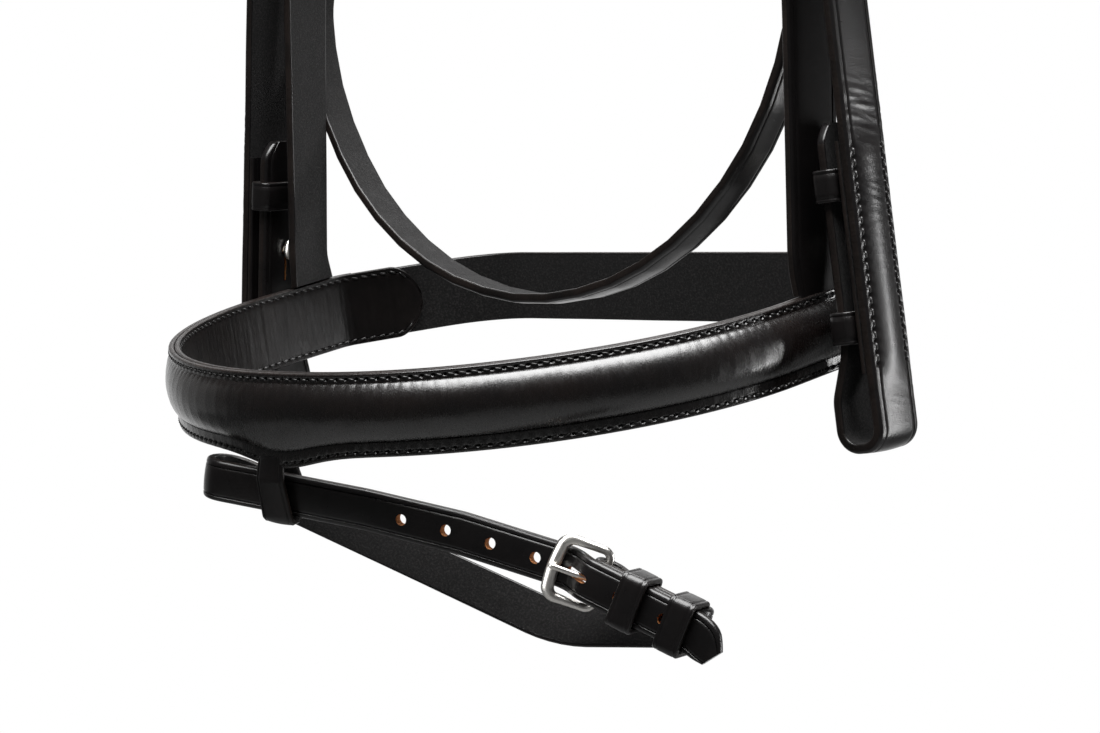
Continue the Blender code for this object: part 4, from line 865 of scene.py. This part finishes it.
THROAT_HANG, THROAT_ASIDE, THROAT_FOOT = 108.8, -11.5, -406.9
THROAT_BACK, THROAT_LEAN, THROAT_BEND = 32.5, -0.035, 30
NEAR_ANGLE, FAR_ANGLE, HANG_CUTS = 78, -86, 22
hanging = []
for k in range(HANG_CUTS + 1):
    angle = math.radians(NEAR_ANGLE + (FAR_ANGLE - NEAR_ANGLE) * k / HANG_CUTS)
    x = THROAT_ASIDE + THROAT_HANG * math.sin(angle)
    y = THROAT_BACK + THROAT_LEAN * x
    z = THROAT_FOOT + THROAT_HANG * (1 - math.cos(angle))
    hanging.append((round(x, 2), round(y, 2), round(z, 2), THROAT_BEND if k in (0, HANG_CUTS) else 0))
throat_table = facing(FORWARD, [
    (102.31, 38.00, -248.93, 0),
    (103.81, 38.00, -221.97, 3.6),
    (101.27, 38.00, -217.32, 3.6),
    (101.49, 38.00, -213.28, 1.55),
    (104.59, 38.00, -213.45, 1.55),
    (100.00, 38.00, -296.00, 60),
    *hanging,
    (-106.00, 38.00, -255.00, 60),
    (-104.44, 38.00, -213.45, 1.55),
    (-101.34, 38.00, -213.57, 1.55),
    (-101.50, 38.00, -217.61, 3.6),
    (-104.46, 38.00, -222.01, 3.6),
    (-105.47, 38.00, -248.99, 0),
])
THROAT_THICK = 3.2 * MM
lay_strap("throatlash_leather", "throatlash", throat_table, THROAT_WIDTH, THROAT_THICK,
          holes=[FOLD_SLOT, slot_hole(545.1 * MM, 561.1 * MM)], wave=0.25 * MM)

# ---------------------------------------------------------------------------
# Browband. One strap round the brow, each end turned back in a loop for the
# headpiece and head strap to run through, and sewn down on itself.

BROW_WAY = (-0.067, -0.054, 0.996)
brow_table = both_sides([
    (102.62, -30.42, -119.40, 0, *BROW_WAY),
    (102.62, -21.43, -118.91, 5, *BROW_WAY),
    (93.20, -12.41, -119.07, 2.2, *BROW_WAY),
    (93.20, 25.13, -117.04, 2.2, *BROW_WAY),
    (102.92, 25.10, -116.39, 2.2, *BROW_WAY),
    (102.92, -103.52, -123.31, 66, 0, 0, 1),
])
BROW_WIDTH, BROW_THICK = 19 * MM, 2.8 * MM
lay_strap("browband_leather", "browband", brow_table, BROW_WIDTH, BROW_THICK, wave=0.3 * MM)

# ---------------------------------------------------------------------------
# Flash loop and flash strap. The loop is a soft tab sewn in behind the lower
# flange at the middle of the nose. The strap hangs in it, crosses under the
# chin and comes back to its buckle on the near side.

loop_table = [
    (-7.20, -98.72, -449.54, 0, -0.998, 0.064, 0.013),
    (-7.20, -97.58, -455.33, 2.8, -0.998, 0.064, 0.013),
    (-7.29, -98.09, -461.73, 2.8, -0.992, -0.106, 0.073),
    (-7.63, -94.55, -473.67, 1.5, -0.953, -0.273, 0.131),
    (-8.76, -90.18, -472.80, 1.5, -0.953, -0.273, 0.131),
    (-5.99, -92.51, -457.42, 0, -0.953, -0.273, 0.131),
]
LOOP_WIDTH = 10.5 * MM
LOOP_THICK = 1.8 * MM


def sewn_loop(along, length):
    """The tab, pared where it is sewn in behind the flange."""
    return 0.0, PARED if along < PARED_RUN else LOOP_THICK


lay_strap("flash_loop_leather", "flash_loop", loop_table, LOOP_WIDTH, LOOP_THICK,
          thin=sewn_loop, wave=0.0, tip_end=True, crease=1.2 * MM)

FLASH_WAY = (-0.368, -0.105, -0.924)
flash_table = [
    (118.25, -55.95, -499.89, 0, *FLASH_WAY),
    (98.71, -61.55, -491.47, 3.6, *FLASH_WAY),
    (93.94, -60.01, -489.75, 3.6, *FLASH_WAY),
    (90.35, -61.04, -488.20, 1.55, *FLASH_WAY),
    (91.20, -64.02, -488.20, 1.55, *FLASH_WAY),
    (120.47, -55.62, -500.81, 3.6, *FLASH_WAY),
    (118.48, -48.70, -500.81, 3.6, *FLASH_WAY),
    (72.16, -56.99, -503.21, 45, 0.146, -0.509, -0.848),
    (-38.44, -85.59, -461.98, 7, -0.269, 0.112, -0.957),
    (-34.31, -100.01, -461.98, 7, -0.269, 0.112, -0.957),
    (19.72, -84.52, -469.89, 60, -0, 0.194, -0.981),
    (50.48, -75.70, -476.09, 60, *FLASH_WAY),
    (81.92, -66.68, -484.20, 30, *FLASH_WAY),
    (85.70, -65.60, -485.82, 6, *FLASH_WAY),
    (91.16, -67.05, -487.83, 6, *FLASH_WAY),
    (124.82, -57.40, -502.34, 9, *FLASH_WAY),
    (128.63, -56.30, -508.55, 0, *FLASH_WAY),
]
FLASH_WIDTH = 13 * MM
FLASH_THICK = 2.6 * MM
flash_holes = hole_row(377.16, 3.1 * MM, (317.16, 332.16, 347.16, 362.16, 392.16, 407.16), 1.3 * MM)
lay_strap("flash_strap_leather", "flash_strap", flash_table, FLASH_WIDTH, FLASH_THICK, "flash",
          holes=[slot_hole(24.43 * MM, 39.8 * MM), *flash_holes], tip_end=True, hole_edge=RAW,
          wave=0.12 * MM, crease=1.9 * MM)

# ---------------------------------------------------------------------------
# Buckles. Cast in nickel: a frame with a flattened front bar, and a tongue
# curled round the bar that the strap is folded over.

BAR = 1.25 * MM
FRONT_BAR = 1.5 * MM
FRONT_WIDER, FRONT_THINNER = 0.30, 0.12
FRAME_ROOM = 1.4 * MM
FRAME_BEND = 2.6
TONGUE = 0.9 * MM
PLAY = 0.3 * MM
CURL_CUTS, TONGUE_CUTS = 24, 8
FRAME_SIDES, TONGUE_SIDES = 14, 12
FRAME_STEP, FRAME_TURN = 1.2 * MM, math.radians(8)
CAST_SHARP = math.radians(60)


class Seat:
    """The straight place where a buckle or keeper sits: u towards the point coming in, n out, w across."""

    def __init__(self, origin, toward, out):
        self.origin = Vector(origin) * MM
        self.u = Vector(toward).normalized()
        self.n = (Vector(out) - self.u * Vector(out).dot(self.u)).normalized()
        self.w = self.n.cross(self.u)

    def place(self, u, n, w=0.0):
        return self.origin + self.u * u + self.n * n + self.w * w


def nickel_finish(name):
    """Plated and polished, with fine hairline wear and a few duller patches."""
    finish, nodes, links = new_finish(name)
    shader = nodes["Principled BSDF"]
    place = node(nodes, "ShaderNodeTexCoord").outputs["Object"]
    hair = cloudy(nodes, links, place, 900.0, 3.0, 0.7)
    patch = cloudy(nodes, links, place, 160.0, 3.0, 0.6)
    links.new(mixed(nodes, links, ranged(nodes, links, patch, 0.0, 1.0), (0.88, 0.86, 0.82), (0.76, 0.74, 0.70)),
              shader.inputs["Base Color"])
    links.new(ranged(nodes, links, patch, 0.26, 0.40), shader.inputs["Roughness"])
    links.new(bumped(nodes, links, hair, 0.35, 0.03 * MM), shader.inputs["Normal"])
    shader.inputs["Metallic"].default_value = 1.0
    return finish


NICKEL = nickel_finish("nickel")


def rod(points, girths, sides, closed, reference):
    """A bar swept along points. Each girth is its half height and its half width."""
    count, skin, faces = len(points), [], []
    for i, point in enumerate(points):
        ahead = points[(i + 1) % count] if closed or i + 1 < count else point
        behind = points[i - 1] if closed or i else point
        tangent = (ahead - behind).normalized()
        flat = tangent.cross(reference).normalized()
        up = flat.cross(tangent)
        for k in range(sides):
            angle = 2 * math.pi * k / sides
            skin.append(point + flat * math.cos(angle) * girths[i][0] + up * math.sin(angle) * girths[i][1])
    for i in range(count if closed else count - 1):
        faces += between(i * sides, (i + 1) % count * sides, sides)
    if not closed:
        faces.append(tuple(range(sides))[::-1])
        faces.append(tuple(range((count - 1) * sides, count * sides)))
    return skin, faces


def cast(name, skin, faces, node_name, body):
    """A cast or turned piece of nickel in place of its node."""
    mesh = skin_mesh(name, skin, faces)
    face_out(mesh)
    mesh.shade_smooth()
    mesh.set_sharp_from_angle(angle=CAST_SHARP)
    mesh.materials.append(NICKEL)
    piece = link(name, mesh)
    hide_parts(node_name)
    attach(piece, body)


def fit_buckle(prefix, seat, width, thick, reach, bow=0.6 * MM):
    """A frame from the bar in the fold to the front bar over the strap, and the tongue that lies on it."""
    heel, front = (0.0, -BAR - PLAY), (reach, thick + PLAY + FRONT_BAR)
    half = width / 2 + FRAME_ROOM + BAR
    corners = [(*heel, 0.0), (*heel, half), (*front, half), (*front, -half), (*heel, -half), (*heel, 0.0)]
    rows = []
    for i, corner in enumerate(corners):
        p = seat.place(*corner) / MM
        rows.append((*p, FRAME_BEND if 0 < i < 5 else 0.0, *seat.n))
    ring = Line(rows, FRAME_TURN)
    way = (seat.place(*front) - seat.place(*heel)).normalized()
    length = (seat.place(*front) - seat.place(*heel)).length
    points, girths = [], []
    for d in ring.cuts(0.0, ring.length, FRAME_STEP)[:-1]:
        point = ring.place(d, 0.0, 0.0)
        from_heel = point - seat.place(*heel)
        share = max(0.0, from_heel.dot(way) / length)
        side = from_heel.dot(seat.w) / half
        points.append(point + way * bow * share ** 3 * (1 - side * side))
        thin = BAR + (FRONT_BAR - BAR) * share ** 2
        girths.append((thin * (1 + FRONT_WIDER * share ** 6), thin * (1 - FRONT_THINNER * share ** 6)))
    cast(prefix + "_frame_cast", *rod(points, girths, FRAME_SIDES, True, seat.w.cross(way)),
         prefix + "_frame", prefix)
    loop = BAR + PLAY + TONGUE
    rest = (reach, front[1] + FRONT_BAR + PLAY + TONGUE)
    rise = rest[1] - heel[1]
    run = math.sqrt(rest[0] ** 2 + rise ** 2 - loop ** 2)
    leave = math.atan2(rise, rest[0]) + math.atan2(run, loop) - 2 * math.pi
    points = []
    for k in range(CURL_CUTS + 1):
        angle = -math.pi / 4 + (leave + math.pi / 4) * k / CURL_CUTS
        points.append(seat.place(heel[0] + loop * math.cos(angle), heel[1] + loop * math.sin(angle)))
    tip = seat.place(*rest)
    way = (tip - points[-1]).normalized()
    start = points[-1].copy()
    points += [start.lerp(tip, k / TONGUE_CUTS) for k in range(1, TONGUE_CUTS + 1)]
    points += [tip + way * past * MM for past in (0.7, 1.1, 1.4)]
    girths = [(TONGUE, TONGUE)] * (len(points) - 2) + [(TONGUE * share, TONGUE * share) for share in (0.85, 0.45)]
    cast(prefix + "_tongue_cast", *rod(points, girths, TONGUE_SIDES, False, seat.w),
         prefix + "_tongue", prefix + "_pin")


head_seat = Seat((104.43, 14.65, -272.00), (-0.0675, -0.0537, 0.9963), (0.9977, -0.0036, 0.0674))
chin_seat = Seat((92.62, 65.85, -408.54), (-0.5735, 0.8036, 0.1591), (0.8192, 0.5625, 0.1114))
flash_seat = Seat((92.58, -63.62, -488.79), (-0.8881, -0.2547, 0.3827), (0.2756, -0.9613, 0.0))
cheek_seats = {"left": Seat((111.49, 7.70, -215.0), (-0.1003, -0.0681, 0.9926), (0.995, -0.0069, 0.1001)),
               "right": Seat((-111.49, 7.70, -215.0), (0.1003, -0.0681, 0.9926), (-0.995, -0.0069, 0.1001))}
throat_seats = {"left": Seat((104.5, 38.0, -215.0), (0.0555, 0.0, 0.9985), (0.9985, 0.0, -0.0555)),
                "right": Seat((-104.5, 38.0, -215.0), (0.0375, 0.0, 0.9993), (-0.9993, 0.0, 0.0375))}
fit_buckle("noseband_buckle", head_seat, HEAD_WIDTH, HEAD_THICK, 16 * MM)
fit_buckle("chin_buckle", chin_seat, CHIN_WIDTH, CHIN_THICK + BEHIND, 13 * MM)
fit_buckle("flash_buckle", flash_seat, FLASH_WIDTH, FLASH_THICK, 12.5 * MM, bow=1.0 * MM)
for side in ("left", "right"):
    fit_buckle(f"cheek_buckle_{side}", cheek_seats[side], CHEEK_WIDTH, CHEEK_THICK, 16 * MM)
    fit_buckle(f"throat_buckle_{side}", throat_seats[side], THROAT_WIDTH, THROAT_THICK, 13 * MM)

# ---------------------------------------------------------------------------
# Keepers and runners. A strip of thin leather bent square round the plies and
# closed behind them. Those by the buckle are sewn in; the outer ones slide.

KEEPER_THICK = 1.6 * MM
KEEPER_WIDTH = 8 * MM
KEEPER_PLAY = 0.4 * MM
KEEPER_CORNER = 0.9 * MM
CORNER_CUTS = 6
CREASE_IN = 1.2 * MM
CREASE_WIDE = 0.25 * MM
KEEPER_WEAR, GRAIN_STEP = 0.07 * MM, 1.3 * MM


def keeper(name, node_name, body, seat, place, width, low, high, length=KEEPER_WIDTH):
    """One loop of leather round a strap of this width, between these two heights over the seat."""
    half, bottom, top = width / 2 + KEEPER_PLAY, low - KEEPER_PLAY, high + KEEPER_PLAY
    round_it = []
    for corner, (w, n) in enumerate([(half, top), (-half, top), (-half, bottom), (half, bottom)]):
        w_turn = w - math.copysign(KEEPER_CORNER, w)
        n_turn = n - (KEEPER_CORNER if n == top else -KEEPER_CORNER)
        for k in range(CORNER_CUTS + 1):
            angle = math.pi / 2 * (corner + k / CORNER_CUTS)
            round_it.append((w_turn, n_turn, math.cos(angle), math.sin(angle)))
        if corner == 0:
            for k in range(1, 8):
                round_it.append((w_turn * (1 - k / 4), n_turn, 0.0, 1.0))
    edge = length / 2
    rounded = [(edge * 0.4, 1.03), (edge - CREASE_IN - CREASE_WIDE, 1.0), (edge - CREASE_IN, 0.88),
               (edge - CREASE_IN + CREASE_WIDE, 1.0), (edge - 0.35 * MM, 0.98), (edge - 0.06 * MM, 0.85),
               (edge, 0.5)]
    strip = [(-u, thick) for u, thick in reversed(rounded)] + rounded
    strip += [(edge, 0.1), (edge - 0.2 * MM, 0.0), (-edge + 0.2 * MM, 0.0), (-edge, 0.1)]
    grain_faces, flesh_face = range(1, 12), 15
    flat_points, points, faces, count = [], [], [], len(strip)
    for i, (w, n, out_w, out_n) in enumerate(round_it):
        for u, thick in strip:
            wear = KEEPER_WEAR * noise.noise(Vector((w * 300, u * 300 + place * 90, n * 300)))
            reach = KEEPER_CORNER + thick * KEEPER_THICK + (wear if thick > 0.9 else 0)
            points.append(seat.place(place + u, n + out_n * reach, w + out_w * reach))
            flat_points.append(Vector((i * GRAIN_STEP, u + place, thick * KEEPER_THICK)))
    rounds = len(round_it)
    for i in range(rounds):
        faces += between(i * count, (i + 1) % rounds * count, count)
    mesh = skin_mesh(name, points, faces)
    for finish in (BLACK, EDGE, FLESH):
        mesh.materials.append(finish)
    for face in mesh.polygons:
        j = face.index % count
        face.material_index = 0 if j in grain_faces else 2 if j == flesh_face else 1
    face_out(mesh)
    mesh.shade_smooth()
    keep_flat(mesh, flat_points)
    piece = link(name, mesh)
    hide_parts(node_name)
    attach(piece, body)


def keeper_pair(prefix, seat, width, thick, runner_body, fixed_body="bridle", fixed=12 * MM, runner=26 * MM,
                low=0.0, room=0.0):
    """The keeper sewn in by the buckle and the runner that slides beyond it."""
    under, over = -PLAY - thick - low, 2 * thick + PLAY + low + room
    keeper(f"{prefix}_fixed_keeper_leather", f"{prefix}_fixed_keeper", fixed_body, seat, -fixed, width, under, over)
    keeper(f"{prefix}_runner_leather", f"{prefix}_runner", runner_body, seat, -runner, width, under, over)


keeper_pair("noseband", head_seat, HEAD_WIDTH, HEAD_THICK, "noseband_runner_loop")
keeper_pair("chin", chin_seat, CHIN_WIDTH, CHIN_THICK, "chin_runner_loop", fixed=12.3 * MM, runner=21.5 * MM,
            low=BEHIND)
keeper_pair("flash", flash_seat, FLASH_WIDTH, FLASH_THICK, "flash_runner_loop", "flash", 12.5 * MM, 28.4 * MM,
            room=1.2 * MM)
BILLET_STAND = 5.5 * MM
LOWER_PLACE, UPPER_PLACE = 38 * MM, 81 * MM
CHEEK_KEEPER_WIDTH = 10 * MM
lined_face = BACKING_GAP + BACKING_THICK


def loop_foot(side):
    """How far below the cheekpiece's buckle the foot of its bit loop is."""
    foot = Vector((135.5 if side == "left" else -135.5, 24, -452.6)) * MM
    return (cheek_seats[side].origin - foot).length


for side, seat in cheek_seats.items():
    keeper_pair(f"cheek_{side}", seat, CHEEK_WIDTH, CHEEK_THICK, f"cheek_{side}_runner_loop")
    keeper_pair(f"throat_{side}", throat_seats[side], THROAT_WIDTH, THROAT_THICK, f"throat_{side}_runner_loop")
    for part, height in (("lower", LOWER_PLACE), ("upper", UPPER_PLACE)):
        keeper(f"cheek_{part}_keeper_{side}_leather", f"cheek_{part}_keeper_{side}", "bridle", seat,
               height - loop_foot(side), CHEEK_WIDTH, -BILLET_STAND - CHEEK_THICK,
               -lined_face - PLAY - KEEPER_THICK - KEEPER_PLAY, CHEEK_KEEPER_WIDTH)

# ---------------------------------------------------------------------------
# Hook studs. A turned nickel neck on a flange riveted through the cheekpiece,
# with a head drawn out along the strap, that the billet's hole is hooked on.

STUD_PLACE = 62 * MM
HEAD_HALF_WIDTH, HEAD_HALF_LENGTH, HEAD_RISE = 1.9, 3.6, 1.7
HEAD_CUTS, STUD_SIDES = 12, 28
base = lined_face / MM + PLAY / MM
top = (BILLET_STAND + CHEEK_THICK + PLAY) / MM + HEAD_RISE
turned = [(base, 3.7, 1), (base + 0.2, 4.0, 1), (base + 0.7, 3.9, 1), (base + 0.95, 3.4, 1),
          (base + 1.0, 1.6, 1), (base + 1.3, 1.3, 1), (top - HEAD_RISE, 1.3, 1)]
for k in range(1, HEAD_CUTS):
    angle = math.pi * (1 - k / HEAD_CUTS)
    turned.append((top + HEAD_RISE * math.cos(angle), HEAD_HALF_WIDTH * math.sin(angle),
                   HEAD_HALF_LENGTH / HEAD_HALF_WIDTH))
for side, seat in cheek_seats.items():
    points, faces = [], []
    for depth, radius, pull in turned:
        for k in range(STUD_SIDES):
            angle = 2 * math.pi * k / STUD_SIDES
            points.append(seat.place(STUD_PLACE - loop_foot(side) + radius * MM * pull * math.cos(angle),
                                     -depth * MM, radius * MM * math.sin(angle)))
    for i in range(len(turned) - 1):
        faces += between(i * STUD_SIDES, (i + 1) * STUD_SIDES, STUD_SIDES)
    faces += [tuple(range(STUD_SIDES)), tuple(range(len(points) - STUD_SIDES, len(points)))]
    cast(f"hook_stud_{side}_turned", points, faces, f"hook_stud_{side}", "bridle")

# ---------------------------------------------------------------------------
# Studio: a pale floor and a white surround, a large soft lamp overhead, three
# small ones and a card for the nickel. The camera is in front of the near side.

AZIMUTH, DOWN = math.radians(40.5), math.radians(2.03)
DISTANCE = 1.022
OFF_RIGHT, OFF_DOWN = 9.5 * MM, 10.3 * MM
ring_middle = Vector((0, 8, -420)) * MM
look = Vector((-math.sin(AZIMUTH) * math.cos(DOWN), math.cos(AZIMUTH) * math.cos(DOWN), -math.sin(DOWN)))
right = Vector((math.cos(AZIMUTH), math.sin(AZIMUTH), 0))
above = right.cross(look)
camera = bpy.data.objects.new("camera", bpy.data.cameras.new("camera"))
camera.data.lens = 102.8
camera.data.sensor_width = 36.0
camera.data.clip_start = 0.05
camera.location = ring_middle - look * DISTANCE + right * OFF_RIGHT - above * OFF_DOWN
camera.rotation_euler = look.to_track_quat("-Z", "Y").to_euler()
bpy.context.collection.objects.link(camera)
bpy.context.scene.camera = camera


def lamp(name, side, up, back, width, height, power):
    """A soft lamp placed from the noseband, as seen from the camera, and aimed at it.
    Places and sizes are in metres, and the power is in watts."""
    light = bpy.data.lights.new(name, "AREA")
    light.shape, light.size, light.size_y, light.energy = "RECTANGLE", width, height, power
    made = bpy.data.objects.new(name, light)
    made.location = ring_middle + right * side + Vector((0, 0, up)) - look * back
    made.rotation_euler = (ring_middle - made.location).to_track_quat("-Z", "Y").to_euler()
    bpy.context.collection.objects.link(made)
    return made


lamp("overhead", 0.02, 1.3, 0.45, 1.8, 1.1, 66)
lamp("near side", 1.5, -0.2, -0.15, 0.20, 0.85, 7.5)
lamp("far side", -1.3, 0.1, -0.8, 0.7, 1.1, 0.4)
lamp("top rear", 0.2, 1.2, -1.0, 1.2, 0.5, 9)
card = lamp("card for the nickel", -1.0, 0.1, 0.9, 1.0, 1.2, 16)
nickel_pieces = bpy.data.collections.new("nickel pieces")
for piece in bpy.context.scene.objects:
    if piece.type == "MESH" and NICKEL in list(piece.data.materials):
        nickel_pieces.objects.link(piece)
card.light_linking.receiver_collection = nickel_pieces


def shown_white(nodes, links, share, plain, white, output):
    """The plain look, with the white one over it by a share that only camera rays see."""
    mix = node(nodes, "ShaderNodeMixShader")
    links.new(share, mix.inputs[0])
    links.new(plain.outputs[0], mix.inputs[1])
    links.new(white.outputs[0], mix.inputs[2])
    links.new(mix.outputs[0], nodes[output].inputs["Surface"])


FLOOR_PALE = (0.25, 0.25, 0.25)
FLOOR_GLOW = 0.95
floor_finish, nodes, links = new_finish("floor")
paper = nodes["Principled BSDF"]
paper.inputs["Base Color"].default_value = (*FLOOR_PALE, 1)
paper.inputs["Roughness"].default_value = 0.9
paper.inputs["Specular IOR Level"].default_value = 0.1
glow = node(nodes, "ShaderNodeEmission", Strength=1.0)
path = node(nodes, "ShaderNodeLightPath")
share = node(nodes, "ShaderNodeMath", operation="MULTIPLY")
share.inputs[1].default_value = FLOOR_GLOW
links.new(path.outputs["Is Camera Ray"], share.inputs[0])
shown_white(nodes, links, share.outputs[0], paper, glow, "Material Output")
SPREAD, FLOOR_HEIGHT = 1.6, -1.45
corners = [(x * SPREAD, y * SPREAD, FLOOR_HEIGHT) for x, y in ((-1, -1), (1, -1), (1, 1), (-1, 1))]
floor_mesh = skin_mesh("floor", corners, [(0, 1, 2, 3)])
floor_mesh.materials.append(floor_finish)
link("floor", floor_mesh)

# To the camera the surround is white. To everything else it is dim in front of
# the bridle and white behind it, so that the nickel and the polish show it.
DIM, WHITE = 0.05, 1.0
world = bpy.data.worlds.new("surround")
world.use_nodes = True
bpy.context.scene.world = world
nodes, links = world.node_tree.nodes, world.node_tree.links
toward = node(nodes, "ShaderNodeVectorMath", operation="DOT_PRODUCT")
toward.inputs[1].default_value = look
links.new(node(nodes, "ShaderNodeTexCoord").outputs["Generated"], toward.inputs[0])
behind = ranged(nodes, links, toward.outputs["Value"], DIM, WHITE, 0.7, 1.0)
links.new(behind, nodes["Background"].inputs["Strength"])
nodes["Background"].inputs["Color"].default_value = (1, 1, 1, 1)
seen = node(nodes, "ShaderNodeBackground", Color=(1, 1, 1, 1), Strength=1.0)
path = node(nodes, "ShaderNodeLightPath")
shown_white(nodes, links, path.outputs["Is Camera Ray"], nodes["Background"], seen, "World Output")
bpy.context.scene.view_settings.view_transform = "Standard"
